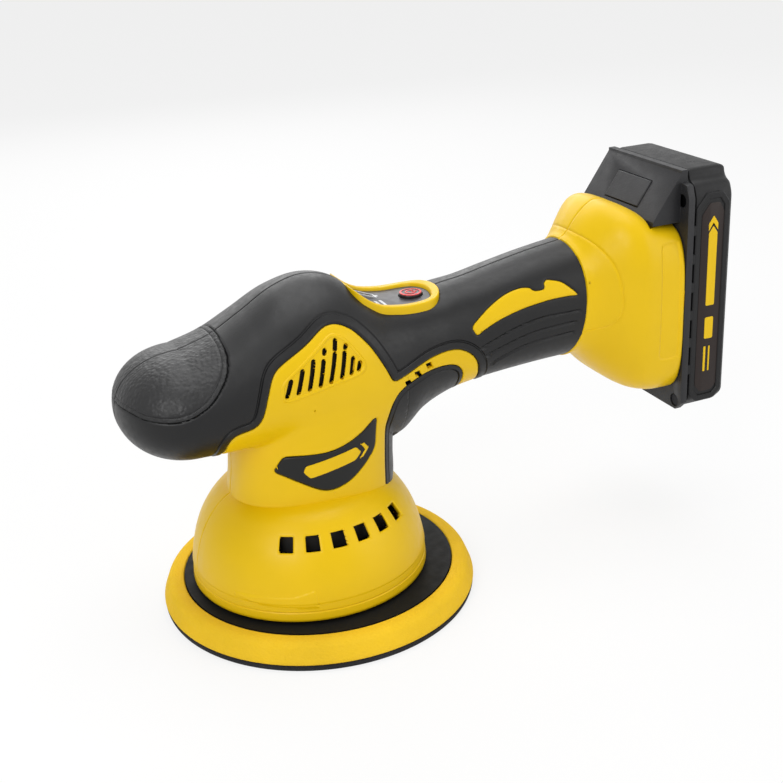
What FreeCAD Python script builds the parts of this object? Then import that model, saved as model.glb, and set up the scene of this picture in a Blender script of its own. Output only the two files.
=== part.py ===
import FreeCAD, Part
import Sketcher
import math
import os
import re
from FreeCAD import Vector

# A cordless random-orbit polisher, in millimetres.
# Origin: the output spindle's axis on the pad's hook face.  +Z is up the spindle,
# +X runs back along the handle to the battery, and y = 0 is the plane where the
# two clamshell halves meet.

doc = FreeCAD.newDocument("polisher")

# ---------------------------------------------------------------- dimensions

DIMENSIONS = {
    # pad
    "pad_radius": 75,
    "hook_thickness": 3,
    "foam_height": 10,
    "plate_radius": 64.4,
    "plate_thickness": 4,
    "orbit_offset": 4,
    "stud_radius": 4,
    "stud_head_radius": 8,
    "washer_thickness": 1,
    # spindle and its bearing
    "spindle_radius": 6,
    "spindle_length": 13,
    "flange_radius": 13,
    "flange_thickness": 4,
    "pad_bearing_radius": 13,
    "pad_bearing_width": 10,
    "clip_thickness": 1.2,
    # eccentric hub, counterweight and fan
    "hub_radius": 18,
    "hub_wall": 3,
    "clip_pocket": 3.2,
    "boss_radius": 9,
    "boss_height": 8,
    "weight_radius": 33,
    "weight_height": 9,
    "fan_radius": 36,
    "fan_height": 10,
    "fan_blades": 14,
    # motor
    "shaft_radius": 4,
    "shaft_top": 132,
    "ball_bearing_radius": 11,
    "ball_bearing_width": 7,
    "bearing_plate_bottom": 50,
    "bearing_plate_radius": 28.8,
    "frame_radius": 27,
    "frame_wall": 2,
    "frame_height": 73,
    "stator_bottom": 70,
    "stator_height": 38,
    "stator_teeth": 6,
    "rotor_radius": 13.6,
    "magnet_thickness": 2.4,
    "air_gap": 0.4,
    # fits and skins
    "running_clearance": 0.03,
    "fit_clearance": 0.1,
    "free_clearance": 0.5,
    "rubber_wall": 1.6,
    "housing_wall": 2.8,
    # bell and column
    "bell_radius": 56,
    "bell_rim": 14.6,
    "bell_neck_radius": 39,
    "bell_top": 57,
    "bell_window": 6,
    "bell_window_height": 49,
    "column_half_length": 39.5,
    "column_half_width": 32,
    # head, nose and handle
    "nose_reach": 82.5,
    "nose_half_width": 35,
    "head_half_width": 34,
    "head_top": 157.2,
    "handle_half_width": 22.4,
    "handle_end": 141,
    "nose_grip_end": 35,
    # control panel
    "bezel_front": 25,
    "bezel_rear": 72,
    "bezel_half_width": 17,
    "bezel_border": 4.5,
    "panel_front_height": 143,
    "panel_rear_height": 138.5,
    "panel_thickness": 1.5,
    "board_bottom": 125,
    "controller_front": 91,
    "controller_length": 40,
    "board_thickness": 1.6,
    "button_x": 59,
    "button_radius": 5.5,
    "button_travel": 0.8,
    # foot and battery
    "foot_half_width": 37.5,
    "foot_rear": 184.5,
    "foot_step": 159,
    "channel_floor": 87,
    "terminal_height": 4.5,
    "blade_height": 20,
    "rail_half_width": 24,
    "rail_depth": 12.5,
    "rail_bottom": 92,
    "rail_lip": 4,
    "rail_thickness": 4,
    "battery_rear": 211,
    "battery_bottom": 65,
    "battery_shoulder": 178,
    "battery_top": 184.5,
    "tower_half_width": 31,
    "tower_front": 170,
    "tower_bottom": 160,
    "battery_split": 188.5,
    "battery_wall": 2.2,
    "cell_radius": 9.1,
    "cell_length": 65,
    "cell_count": 5,
    "release_half_width": 14,
    "release_travel": 2.5,
    # fasteners
    "screw_radius": 1.5,
    "screw_head_radius": 3,
    "screw_head_height": 2.4,
    "screw_length": 24,
    "screw_boss_radius": 5,
    "screw_seat": 12,
}

dims = doc.addObject("Spreadsheet::Sheet", "dims")
for row, (alias, value) in enumerate(DIMENSIONS.items(), start=1):
    dims.set(f"A{row}", alias)
    dims.set(f"B{row}", str(value))
    dims.setAlias(f"B{row}", alias)
doc.recompute()


def size(expression):
    """The number that the sheet gives for an expression in its aliases."""
    return float(dims.evalExpression(expression))


def linked(expression):
    """The same expression as any other object of the document writes it."""
    return re.sub(r"[a-z]\w+", lambda word: "dims." + word[0] if word[0] in DIMENSIONS else word[0],
                  expression)


# ------------------------------------------------------------------- helpers

NODES = []


def bind(item, **bindings):
    """Tie an object's properties to expressions; x, y and z stand for its place."""
    places = {"x": "Placement.Base.x", "y": "Placement.Base.y", "z": "Placement.Base.z"}
    for name, expression in bindings.items():
        item.setExpression(places.get(name, name), linked(expression))
    return item


def node(item, label):
    """Give a finished sub-part the label that names its file."""
    item.Label = label
    NODES.append(item)
    return item


def cylinder(name, radius, height, x="0", y="0", z="0", axis="z"):
    """A cylinder standing on (x, y, z) along an axis."""
    item = doc.addObject("Part::Cylinder", name)
    turns = {
        "x": FreeCAD.Rotation(Vector(0, 1, 0), 90),
        "y": FreeCAD.Rotation(Vector(1, 0, 0), -90),
        "z": FreeCAD.Rotation(),
    }
    item.Placement = FreeCAD.Placement(Vector(0, 0, 0), turns[axis])
    return bind(item, Radius=radius, Height=height, x=x, y=y, z=z)


def block(name, length, width, height, x, y, z):
    """A box whose lowest corner is (x, y, z)."""
    item = doc.addObject("Part::Box", name)
    return bind(item, Length=length, Width=width, Height=height, x=x, y=y, z=z)


def cut(name, base, tool):
    item = doc.addObject("Part::Cut", name)
    item.Base = base
    item.Tool = tool
    return item


def common(name, base, tool):
    item = doc.addObject("Part::Common", name)
    item.Base = base
    item.Tool = tool
    return item


def fuse(name, *items):
    item = doc.addObject("Part::MultiFuse", name)
    item.Shapes = list(items)
    return item


def compound(name, items):
    """Separate solids that share one node."""
    item = doc.addObject("Part::Compound", name)
    item.Links = list(items)
    return item


def ring(name, outer, inner, height, z, x="0"):
    """A tube about the vertical through x."""
    core = cylinder(name + "_hole", inner, f"{height} + 2", x=x, z=f"{z} - 1")
    return cut(name, cylinder(name + "_disc", outer, height, x=x, z=z), core)


def plane_of(body, role):
    return [item for item in body.Origin.OriginFeatures if item.Role == role][0]


def turned(name, points, x="0"):
    """A body of revolution about the vertical through x, from (radius, height) expressions."""
    body = doc.addObject("PartDesign::Body", name)
    sketch = body.newObject("Sketcher::SketchObject", name + "_profile")
    sketch.AttachmentSupport = [(plane_of(body, "XZ_Plane"), "")]
    sketch.MapMode = "FlatFace"
    flat = [Vector(size(radius), size(height), 0) for radius, height in points]
    for start, end in zip(flat, flat[1:] + flat[:1]):
        sketch.addGeometry(Part.LineSegment(start, end))
    count = len(points)
    for index in range(count):
        sketch.addConstraint(Sketcher.Constraint("Coincident", index, 2, (index + 1) % count, 1))
    for index, point in enumerate(points):
        for kind, expression, value in zip(("DistanceX", "DistanceY"), point, flat[index]):
            number = sketch.addConstraint(Sketcher.Constraint(kind, -1, 1, index, 1, value))
            sketch.setExpression(f"Constraints[{number}]", linked(expression))
    turn = body.newObject("PartDesign::Revolution", name + "_turn")
    turn.Profile = sketch
    turn.ReferenceAxis = (sketch, ["V_Axis"])
    turn.Angle = 360
    return bind(body, x=x)


def prism(points, low, high):
    """A solid between y = low and y = high from an outline of (x, z) points."""
    corners = [Vector(x, low, z) for x, z in points]
    face = Part.Face(Part.makePolygon(corners + corners[:1]))
    return face.extrude(Vector(0, high - low, 0))


def superellipse(half_a, half_b, power, place, count=16):
    """A closed smooth curve |a/A|^n + |b/B|^n = 1, set in space by place(a, b)."""
    points = []
    for index in range(count):
        angle = 2 * math.pi * index / count
        a = math.copysign(abs(math.cos(angle)) ** (2 / power), math.cos(angle))
        b = math.copysign(abs(math.sin(angle)) ** (2 / power), math.sin(angle))
        points.append(place(half_a * a, half_b * b))
    curve = Part.BSplineCurve()
    curve.interpolate(points, PeriodicFlag=True)
    return Part.Wire([curve.toShape()])


def made(name, shape, label):
    """A sub-part whose shape no primitive or sketch makes."""
    item = doc.addObject("Part::Feature", name)
    item.Shape = shape
    item.Placement = FreeCAD.Placement()
    return node(item, label)


# ----------------------------------------------------------------------- pad

PLATE_TOP = "(hook_thickness + foam_height)"
PLATE_BOTTOM = "(hook_thickness + foam_height - plate_thickness)"
STUD_HEAD_TOP = "(hook_thickness + foam_height - plate_thickness / 2)"
FLANGE_BOTTOM = "(hook_thickness + foam_height + washer_thickness)"
FLANGE_TOP = "(hook_thickness + foam_height + washer_thickness + flange_thickness)"
STUD_TOP = f"({FLANGE_BOTTOM} + 10)"
SPINDLE_TOP = f"({FLANGE_TOP} + spindle_length)"

node(cylinder("hook", "pad_radius", "hook_thickness", x="orbit_offset"), "hook_face")

node(turned("foam", [
    ("0", "hook_thickness"),
    ("pad_radius", "hook_thickness"),
    ("plate_radius + 1.8", PLATE_TOP),
    ("plate_radius + fit_clearance", PLATE_TOP),
    ("plate_radius + fit_clearance", PLATE_BOTTOM),
    ("0", PLATE_BOTTOM),
], x="orbit_offset"), "pad_foam")

node(turned("plate", [
    ("stud_radius + fit_clearance", PLATE_TOP),
    ("plate_radius", PLATE_TOP),
    ("plate_radius", PLATE_BOTTOM),
    ("stud_head_radius + fit_clearance", PLATE_BOTTOM),
    ("stud_head_radius + fit_clearance", STUD_HEAD_TOP),
    ("stud_radius + fit_clearance", STUD_HEAD_TOP),
], x="orbit_offset"), "backing_plate")

node(turned("stud", [
    ("0", PLATE_BOTTOM),
    ("stud_head_radius", PLATE_BOTTOM),
    ("stud_head_radius", STUD_HEAD_TOP),
    ("stud_radius", STUD_HEAD_TOP),
    ("stud_radius", STUD_TOP),
    ("0", STUD_TOP),
], x="orbit_offset"), "pad_stud")

node(ring("washer", "flange_radius", "stud_radius + fit_clearance", "washer_thickness",
          PLATE_TOP, x="orbit_offset"), "pad_washer")

node(turned("spindle", [
    ("stud_radius + fit_clearance", FLANGE_BOTTOM),
    ("flange_radius", FLANGE_BOTTOM),
    ("flange_radius", FLANGE_TOP),
    ("spindle_radius", FLANGE_TOP),
    ("spindle_radius", SPINDLE_TOP),
    ("0", SPINDLE_TOP),
    ("0", f"{STUD_TOP} + 1"),
    ("stud_radius + fit_clearance", f"{STUD_TOP} + 1"),
], x="orbit_offset"), "pad_spindle")

# ---------------------------------------------- eccentric hub, weight and fan

HUB_BOTTOM = f"({FLANGE_TOP} + free_clearance)"
BEARING_TOP = f"({HUB_BOTTOM} + pad_bearing_width)"
POCKET_TOP = f"({BEARING_TOP} + clip_pocket)"
HUB_TOP = f"({POCKET_TOP} + hub_wall)"
BOSS_TOP = f"({HUB_TOP} + boss_height)"

node(ring("clip", "spindle_radius + 2.5", "spindle_radius + fit_clearance", "clip_thickness",
          f"{BEARING_TOP} + free_clearance", x="orbit_offset"), "spindle_clip")

node(ring("race", "pad_bearing_radius", "spindle_radius + running_clearance",
          "pad_bearing_width", HUB_BOTTOM, x="orbit_offset"), "pad_bearing")

hub_solid = fuse(
    "hub_solid",
    cylinder("hub_drum", "hub_radius", f"{HUB_TOP} - {HUB_BOTTOM}", x="orbit_offset", z=HUB_BOTTOM),
    cylinder("hub_boss", "boss_radius", "boss_height + 1", z=f"{HUB_TOP} - 1"),
)
hub_holes = fuse(
    "hub_holes",
    cylinder("hub_seat", "pad_bearing_radius + fit_clearance", "pad_bearing_width + 1",
             x="orbit_offset", z=f"{HUB_BOTTOM} - 1"),
    cylinder("hub_pocket", "pad_bearing_radius - 3", f"{POCKET_TOP} - {BEARING_TOP} + 1",
             x="orbit_offset", z=f"{BEARING_TOP} - 1"),
    cylinder("hub_bore", "shaft_radius + running_clearance", "boss_height + 1", z=HUB_TOP),
    cylinder("hub_tapping", "screw_radius + fit_clearance", "boss_radius + 1",
             z=f"{HUB_TOP} + boss_height / 2", axis="y"),
)
node(cut("hub", hub_solid, hub_holes), "eccentric_hub")

node(cylinder("grub", "screw_radius", "boss_radius - shaft_radius - free_clearance",
              y="shaft_radius + free_clearance / 2", z=f"{HUB_TOP} + boss_height / 2", axis="y"),
     "hub_grub_screw")

weight_disc = common(
    "weight_disc",
    cylinder("weight_round", "weight_radius", "weight_height", z=f"{HUB_BOTTOM} + 3"),
    block("weight_side", "weight_radius - orbit_offset * 2", "weight_radius * 2", "weight_height",
          "-weight_radius", "-weight_radius", f"{HUB_BOTTOM} + 3"),
)
node(cut("weight", weight_disc,
         cylinder("weight_seat", "hub_radius + fit_clearance", "weight_height + 2",
                  x="orbit_offset", z=f"{HUB_BOTTOM} + 2")), "counterweight")

FAN_BOTTOM = f"({HUB_TOP} + 1.5)"
fan_parts = [
    cylinder("fan_disc", "fan_radius", "1.5", z=FAN_BOTTOM),
    cylinder("fan_hub", "boss_radius + 3", "boss_height", z=FAN_BOTTOM),
]
for index in range(int(size("fan_blades"))):
    blade = doc.addObject("Part::Box", f"fan_blade_{index}")
    turn = FreeCAD.Rotation(Vector(0, 0, 1), 360 * index / size("fan_blades"))
    bind(blade, Length="fan_radius - boss_radius - 5", Width="1.4", Height="fan_height")
    blade.Placement = FreeCAD.Placement(
        turn.multVec(Vector(size("boss_radius + 4"), 3, size(FAN_BOTTOM))), turn)
    fan_parts.append(blade)
node(cut("fan", fuse("fan_solid", *fan_parts),
         cylinder("fan_bore", "boss_radius + fit_clearance", "fan_height + 2",
                  z=f"{FAN_BOTTOM} - 1")), "cooling_fan")

# --------------------------------------------------------------------- motor

SHAFT_BOTTOM = f"({HUB_TOP} + 0.2)"
PLATE_SEAT = "(bearing_plate_bottom + 2)"
FRAME_BOTTOM = "(bearing_plate_bottom + 3)"
FRAME_TOP = "(bearing_plate_bottom + 3 + frame_height)"

node(cylinder("shaft", "shaft_radius", f"shaft_top - {SHAFT_BOTTOM}", z=SHAFT_BOTTOM),
     "motor_shaft")

node(turned("bearing_carrier", [
    ("ball_bearing_radius - 3", "bearing_plate_bottom"),
    ("bearing_plate_radius", "bearing_plate_bottom"),
    ("bearing_plate_radius", FRAME_BOTTOM),
    ("ball_bearing_radius + 6", FRAME_BOTTOM),
    ("ball_bearing_radius + 3", f"{PLATE_SEAT} + ball_bearing_width"),
    ("ball_bearing_radius + fit_clearance", f"{PLATE_SEAT} + ball_bearing_width"),
    ("ball_bearing_radius + fit_clearance", PLATE_SEAT),
    ("ball_bearing_radius - 3", PLATE_SEAT),
]), "bearing_plate")

for name, bottom in (("lower", PLATE_SEAT), ("upper", f"({FRAME_TOP} - ball_bearing_width)")):
    node(ring(f"{name}_race", "ball_bearing_radius", "shaft_radius + running_clearance",
              "ball_bearing_width", bottom), f"{name}_bearing")

node(ring("can", "frame_radius", "frame_radius - frame_wall", "frame_height", FRAME_BOTTOM),
     "motor_frame")

STATOR_RADIUS = "(frame_radius - frame_wall - fit_clearance)"
TOOTH_WIDTH = 6
TOOTH_TIP = "(rotor_radius + air_gap)"
stator_parts = [ring("yoke", STATOR_RADIUS, f"{STATOR_RADIUS} - 4.4", "stator_height",
                     "stator_bottom")]
coils = []
for index in range(int(size("stator_teeth"))):
    turn = FreeCAD.Rotation(Vector(0, 0, 1), 360 * index / size("stator_teeth"))
    tooth = doc.addObject("Part::Box", f"tooth_{index}")
    bind(tooth, Length=f"{STATOR_RADIUS} - 3 - {TOOTH_TIP} + 2", Width=str(TOOTH_WIDTH),
         Height="stator_height")
    tooth.Placement = FreeCAD.Placement(
        turn.multVec(Vector(size(f"{TOOTH_TIP} - 2"), -TOOTH_WIDTH / 2, size("stator_bottom"))), turn)
    stator_parts.append(tooth)
    winding = block(f"winding_{index}", "4.2", f"{TOOTH_WIDTH} + 4.4",
                    "stator_height + 8", f"{TOOTH_TIP} + 1.6", f"-{TOOTH_WIDTH} / 2 - 2.2",
                    "stator_bottom - 4")
    window = block(f"winding_window_{index}", "8", f"{TOOTH_WIDTH} + 0.2", "stator_height + 0.2",
                   TOOTH_TIP, f"-{TOOTH_WIDTH} / 2 - 0.1", "stator_bottom - 0.1")
    coil = cut(f"coil_{index}", winding, window)
    coil.Placement = FreeCAD.Placement(Vector(0, 0, 0), turn)
    coils.append(coil)
node(cut("stator", fuse("stator_solid", *stator_parts),
         cylinder("stator_bore", TOOTH_TIP, "stator_height + 2", z="stator_bottom - 1")),
     "stator_core")
node(compound("coils", coils), "stator_coils")

node(ring("rotor", "rotor_radius - magnet_thickness", "shaft_radius + running_clearance",
          "stator_height", "stator_bottom"), "rotor_core")
node(ring("magnet", "rotor_radius", "rotor_radius - magnet_thickness + running_clearance",
          "stator_height - 2", "stator_bottom + 1"), "rotor_magnet")
node(ring("sensors", f"{STATOR_RADIUS}", "rotor_radius + 1.4", "1.6",
          "stator_bottom + stator_height + 5.5"), "sensor_board")

BRACKET_SCREWS = 3
bracket = turned("bracket", [
    ("ball_bearing_radius - 3", f"{FRAME_TOP} - ball_bearing_width - 2"),
    ("ball_bearing_radius + 3", f"{FRAME_TOP} - ball_bearing_width - 2"),
    ("ball_bearing_radius + 3", f"{FRAME_TOP} - 3"),
    (STATOR_RADIUS, f"{FRAME_TOP} - 3"),
    (STATOR_RADIUS, FRAME_TOP),
    ("frame_radius", FRAME_TOP),
    ("frame_radius", f"{FRAME_TOP} + 2"),
    ("ball_bearing_radius + fit_clearance", f"{FRAME_TOP} + 2"),
    ("ball_bearing_radius + fit_clearance", f"{FRAME_TOP} - ball_bearing_width"),
    ("ball_bearing_radius - 3", f"{FRAME_TOP} - ball_bearing_width"),
])
bracket_holes = []
bracket_screws = []
for index in range(BRACKET_SCREWS):
    turn = FreeCAD.Rotation(Vector(0, 0, 1), 360 * index / BRACKET_SCREWS + 30)
    place = turn.multVec(Vector(size("ball_bearing_radius + 7.5"), 0, 0))
    across = {"x": str(round(place.x, 6)), "y": str(round(place.y, 6))}
    bracket_holes.append(cylinder(f"bracket_hole_{index}", "screw_radius + fit_clearance", "8",
                                  z=f"{FRAME_TOP} - 4", **across))
    bracket_screws.append(fuse(
        f"bracket_screw_{index}",
        cylinder(f"bracket_shank_{index}", "screw_radius", "6.5", z=f"{FRAME_TOP} - 4", **across),
        cylinder(f"bracket_head_{index}", "screw_head_radius", "screw_head_height",
                 z=f"{FRAME_TOP} + 2", **across),
    ))
node(cut("end_bracket", bracket, fuse("bracket_holes", *bracket_holes)), "motor_end_bracket")
node(compound("end_screws", bracket_screws), "motor_screws")

# ------------------------------------------------- outer form of the housing

LEFT, RIGHT = -1, 1
SIDES = {"left": LEFT, "right": RIGHT}
FAR = 120


def body_stations():
    """Nose, head and handle: (x, top, bottom, half-width) of each cross-section."""
    nose, head, grip = size("nose_half_width"), size("head_half_width"), size("handle_half_width")
    tip, crown, tail = -size("nose_reach"), size("head_top"), size("handle_end")
    return [
        (tip, 112.5, 106, nose - 28),
        (tip + 2, 117, 100, nose - 17),
        (tip + 5.5, 122, 95.5, nose - 9.5),
        (tip + 10.5, 126.5, 91.5, nose - 5),
        (tip + 18.5, 130.5, 88, nose - 2),
        (tip + 30.5, 132.8, 86, nose - 0.5),
        (-38, 137, 85.5, nose),
        (-23, 145, 85.5, head + 0.8),
        (-7, crown - 3.2, 85, head + 0.5),
        (8, crown, 83, head),
        (25, crown - 6.2, 79, head - 1.5),
        (35, crown - 14.7, 74.5, head - 4),
        (46, crown - 18.2, 72, head - 7),
        (57, crown - 18.5, 82, grip + 2.6),
        (70, crown - 16.8, 88.5, grip + 0.8),
        (85, crown - 14.4, 92, grip),
        (92, crown - 13, 92.9, grip),
        (100, crown - 11.5, 93.5, grip),
        (109, crown - 9.8, 94.1, grip + 0.2),
        (118, crown - 8.2, 94.5, grip + 0.5),
        (126, crown - 7.1, 94.7, grip + 0.7),
        (134, crown - 6, 94.9, grip + 0.9),
        (tail, crown - 5, 95, grip + 1.2),
    ]


def foot_stations():
    """The battery foot: (x, top, bottom, half-width, corner power) of each cross-section."""
    tail, rear, wide = size("handle_end"), size("foot_rear"), size("foot_half_width")
    return [
        (tail, size("head_top") - 5, 95, size("handle_half_width") + 1.2, 2.4),
        (tail + 7, 163.5, 89, wide - 9.5, 2.7),
        (tail + 15, 169, 81.5, wide - 4, 3.2),
        (tail + 23, 167, 76, wide - 0.6, 3.8),
        (tail + 31, 162, 73.5, wide, 4.2),
        (rear, 160, 73, wide, 4.4),
    ]


def column_stations():
    """The upright column: (z, centre x, half-length, half-width) of each cross-section."""
    long, wide = size("column_half_length"), size("column_half_width")
    return [
        (46, 1.5, long - 1, wide + 3),
        (54, 3, long, wide),
        (70, 4.6, long - 0.8, wide),
        (84, 5.5, long - 1, wide + 0.3),
        (96, 5.5, long - 1.5, wide - 0.6),
        (108, 5, long - 3, wide - 2.5),
    ]


def shrunk(half, wall):
    """A half-size with the wall taken off, but never under half of what it was."""
    return max(half - wall, 0.5 * half)


def body_form(wall):
    """The body's solid, drawn in by a wall."""
    stations = body_stations()
    tip, settled = stations[0][0], stations[5][0]
    wires = []
    for x, top, bottom, half in stations:
        if x < settled:
            x = settled - (settled - x) * (settled - tip - wall) / (settled - tip)
        middle, tall = (top + bottom) / 2, (top - bottom) / 2
        wires.append(superellipse(shrunk(half, wall), shrunk(tall, wall), 2.3,
                                  lambda a, b, x=x, middle=middle: Vector(x, a, middle + b)))
    return Part.makeLoft(wires, True, False)


def foot_form(wall):
    """The foot's solid, drawn in by a wall, which also closes its rear."""
    wires = []
    for x, top, bottom, half, power in foot_stations():
        x = min(x, size("foot_rear") - wall)
        middle, tall = (top + bottom) / 2, (top - bottom) / 2
        wires.append(superellipse(half - wall, tall - wall, power,
                                  lambda a, b, x=x, middle=middle: Vector(x, a, middle + b)))
    return Part.makeLoft(wires, True, False)


def column_form(wall):
    """The column's solid, drawn in by a wall."""
    wires = []
    for z, middle, long, wide in column_stations():
        wires.append(superellipse(long - wall, wide - wall, 2.2,
                                  lambda a, b, z=z, middle=middle: Vector(middle + a, b, z)))
    return Part.makeLoft(wires, True, False)


def bell_form(wall):
    """The bell over the pad, turned about the spindle, drawn in by a wall."""
    rim, top = size("bell_rim"), size("bell_top")
    wide, neck = size("bell_radius"), size("bell_neck_radius")
    low = rim if wall == 0 else rim - 1
    profile = [
        (0, low),
        (wide - 1.5 - wall, low),
        (wide - wall, rim + 2.5),
        (wide - 0.5 - wall, 25),
        (wide - 2.3 - wall, 33),
        (wide - 5.5 - wall, 42.5),
        (wide - 11 - wall, top - 6 - wall),
        (neck - wall, top - wall),
        (0, top - wall),
    ]
    points = [Vector(r, 0, z) for r, z in profile]
    face = Part.Face(Part.makePolygon(points + points[:1]))
    return face.revolve(Vector(0, 0, 0), Vector(0, 0, 1), 360)


SIDE_WINDOW = [(-37, 102), (-27, 105), (-22, 119), (-16, 129), (-7, 132), (7, 142), (14, 141),
               (24, 129), (29, 120), (34, 112), (47, 117), (47, 109), (36, 104), (30, 88),
               (27, 70), (27, 40), (-60, 40), (-60, 84), (-37, 84)]
HANDLE_CRESCENT = [(80, 125), (87, 124), (104, 130), (135, 131), (118, 142), (112, 137),
                   (100, 140), (84, 130)]
HOOK_STRIP = [(40, 106), (60, 113), (75, 114), (83, 104), (83, 100), (75, 99), (72, 107),
              (57, 106), (41, 97)]
BADGE = [(-21, 77), (-17, 84), (10, 85), (27, 93), (21, 77), (1, 66), (-14, 73)]
THROAT = [(27, 40), (27, 70), (30, 88), (36, 95), (41, 97), (60, 97), (60, 40)]

outer_wall = size("rubber_wall")
inner_wall = size("rubber_wall + housing_wall")
body_outer, body_middle, body_inner = [body_form(wall) for wall in (0, outer_wall, inner_wall)]
column_outer, column_middle, column_inner = [
    column_form(wall) for wall in (0, outer_wall, inner_wall)]
foot_outer, foot_inner = foot_form(0), foot_form(size("housing_wall"))
bell_outer, bell_inner = bell_form(0), bell_form(size("housing_wall"))

core = body_middle.fuse(column_middle)
skin = body_outer.fuse(column_outer).cut(core)
window = prism(SIDE_WINDOW, -FAR, FAR)
crescent = prism(HANDLE_CRESCENT, -FAR, FAR)
hook_strip = prism(HOOK_STRIP, -FAR, FAR)
badge = prism(BADGE, -FAR, FAR)
throat = prism(THROAT, -FAR, FAR)

# ---------------------------------------------------- control panel's outline

BEZEL_DEPTH = 5


def panel_height(x):
    """The height of the control panel's plane at x."""
    front, rear = size("bezel_front"), size("bezel_rear")
    share = (x - front) / (rear - front)
    return size("panel_front_height") * (1 - share) + size("panel_rear_height") * share


def panel_slab(low, high, inset=0.0):
    """A sloping slab over the panel's place, from low to high above its plane."""
    front, rear = size("bezel_front") + inset, size("bezel_rear") - inset
    half = size("bezel_half_width") - inset
    outline = [(front, panel_height(front) + low), (rear, panel_height(rear) + low),
               (rear, panel_height(rear) + high), (front, panel_height(front) + high)]
    return prism(outline, -half, half)


fit = size("fit_clearance")
border = size("bezel_border")
panel_seat = panel_slab(-BEZEL_DEPTH, 30, -fit)

# ------------------------------------------------------------- clamshell halves

SCREW_PLACES = [(-62, 100), (-45, 122), (46, 88), (82, 130), (84, 102), (137, 106), (156, 146),
                (156, 94)]
RIB_THICKNESS = 2
WINDOW_PITCH = 14.4
WINDOW_MIDDLE = 84
WINDOWS = 6
SLOTS = 8


def along_y(radius, x, z, low, high):
    return Part.makeCylinder(radius, high - low, Vector(x, low, z), Vector(0, 1, 0))


def bell_windows():
    """Square outlets round the bell's shoulder, six on each side."""
    half = size("bell_window") / 2
    inner, reach = size("boss_radius + 27"), size("bell_radius")
    cutters = []
    for side in SIDES.values():
        for index in range(WINDOWS):
            angle = side * (WINDOW_MIDDLE + (index - (WINDOWS - 1) / 2) * WINDOW_PITCH)
            cutter = Part.makeBox(reach - inner, 2 * half, 2 * half,
                                  Vector(inner, -half, size("bell_window_height") - half))
            cutter.rotate(Vector(0, 0, 0), Vector(0, 0, 1), angle)
            cutters.append(cutter)
    return cutters


def side_slots():
    """Slanted air slots through both cheeks of the head."""
    depth = FAR - size("frame_radius") - 0.8
    cutters = []
    for index in range(SLOTS):
        x = -15 + 5 * index
        tall = 4 + 2.2 * min(index, 4)
        outline = [(x, 115), (x + 2.4, 115), (x + 4.4, 115 + tall), (x + 2, 115 + tall)]
        for low in (-FAR, FAR - depth):
            cutters.append(prism(outline, low, low + depth))
    return cutters


def ribs():
    """Cradles inside the shell for the motor, the circuit board and the controller."""
    frame = size("frame_radius") + fit
    cradles = []
    for z in (size(FRAME_BOTTOM) + 8, size(FRAME_TOP) - 8):
        plate = Part.makeCylinder(frame + 9, RIB_THICKNESS, Vector(0, 0, z))
        cradles.append(plate.cut(Part.makeCylinder(frame, RIB_THICKNESS, Vector(0, 0, z))))
    board = size("board_bottom")
    for x in (36, 64):
        cradles.append(Part.makeBox(RIB_THICKNESS, FAR, 5, Vector(x, -FAR / 2, board - 5)))
    for x in (98, 126):
        cradles.append(Part.makeBox(RIB_THICKNESS, FAR, 20, Vector(x, -FAR / 2, 84)))
    for x, z in SCREW_PLACES:
        cradles.append(along_y(size("screw_boss_radius"), x, z, -FAR / 2, FAR / 2))
    return cradles


channel_front = size("foot_rear - rail_depth - free_clearance")
channel_half = size("rail_half_width") + size("free_clearance")
channel_wall = Part.makeBox(
    size("foot_rear") - channel_front + 3, 2 * channel_half + 6, FAR,
    Vector(channel_front - 3, -channel_half - 3, size("channel_floor") - 3))
channel = Part.makeBox(
    size("rail_depth") + 20, 2 * channel_half, FAR,
    Vector(channel_front, -channel_half, size("channel_floor")))
rail_front = size("foot_rear - rail_depth + rail_thickness")
rails = [Part.makeBox(size("rail_thickness"), size("rail_lip"), 66,
                      Vector(rail_front, low, size("rail_bottom")))
         for low in (-channel_half, channel_half - size("rail_lip"))]
foot_step = Part.makeBox(60, 2 * FAR, FAR,
                         Vector(size("tower_front") - 0.8, -FAR, size("foot_step")))
latch_notch = Part.makeBox(4, 16, 20, Vector(channel_front - 2, -8, 151))

yellow_skin = skin.common(window.fuse(crescent).fuse(hook_strip)).cut(badge).cut(throat)
form = core.fuse(foot_outer).fuse(bell_outer).fuse(yellow_skin)
hollow = body_inner.fuse(column_inner).fuse(foot_inner)
neck = Part.makeCylinder(size("bearing_plate_radius") - 2, 20,
                         Vector(0, 0, size("bearing_plate_bottom") - 12))
plate_room = Part.makeCylinder(size("bearing_plate_radius") + fit, 20,
                               Vector(0, 0, size("bearing_plate_bottom")))
floor_cut = Part.makeBox(2 * FAR, 2 * FAR, 60,
                         Vector(-FAR, -FAR, size("bearing_plate_bottom") - 60))
hollow = hollow.cut(floor_cut)
shell = form.cut(hollow).cut(bell_inner).cut(neck).cut(plate_room)
cradles = ribs()
shell = shell.fuse(cradles[0].fuse(cradles[1:]).common(core.fuse(foot_outer)))
motor_room = Part.makeCylinder(size("frame_radius") + fit,
                               size(f"{FRAME_TOP} - {FRAME_BOTTOM}") + 6,
                               Vector(0, 0, size(FRAME_BOTTOM)))
shell = shell.cut(motor_room)
shell = shell.fuse(channel_wall.common(foot_outer)).cut(channel).fuse(rails)
stem_hole = Part.makeCylinder(3, 20, Vector(size("button_x"), 0,
                                            panel_height(size("button_x")) - 20))
shell = shell.cut([foot_step, latch_notch, panel_seat, stem_hole] + bell_windows() + side_slots())

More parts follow.
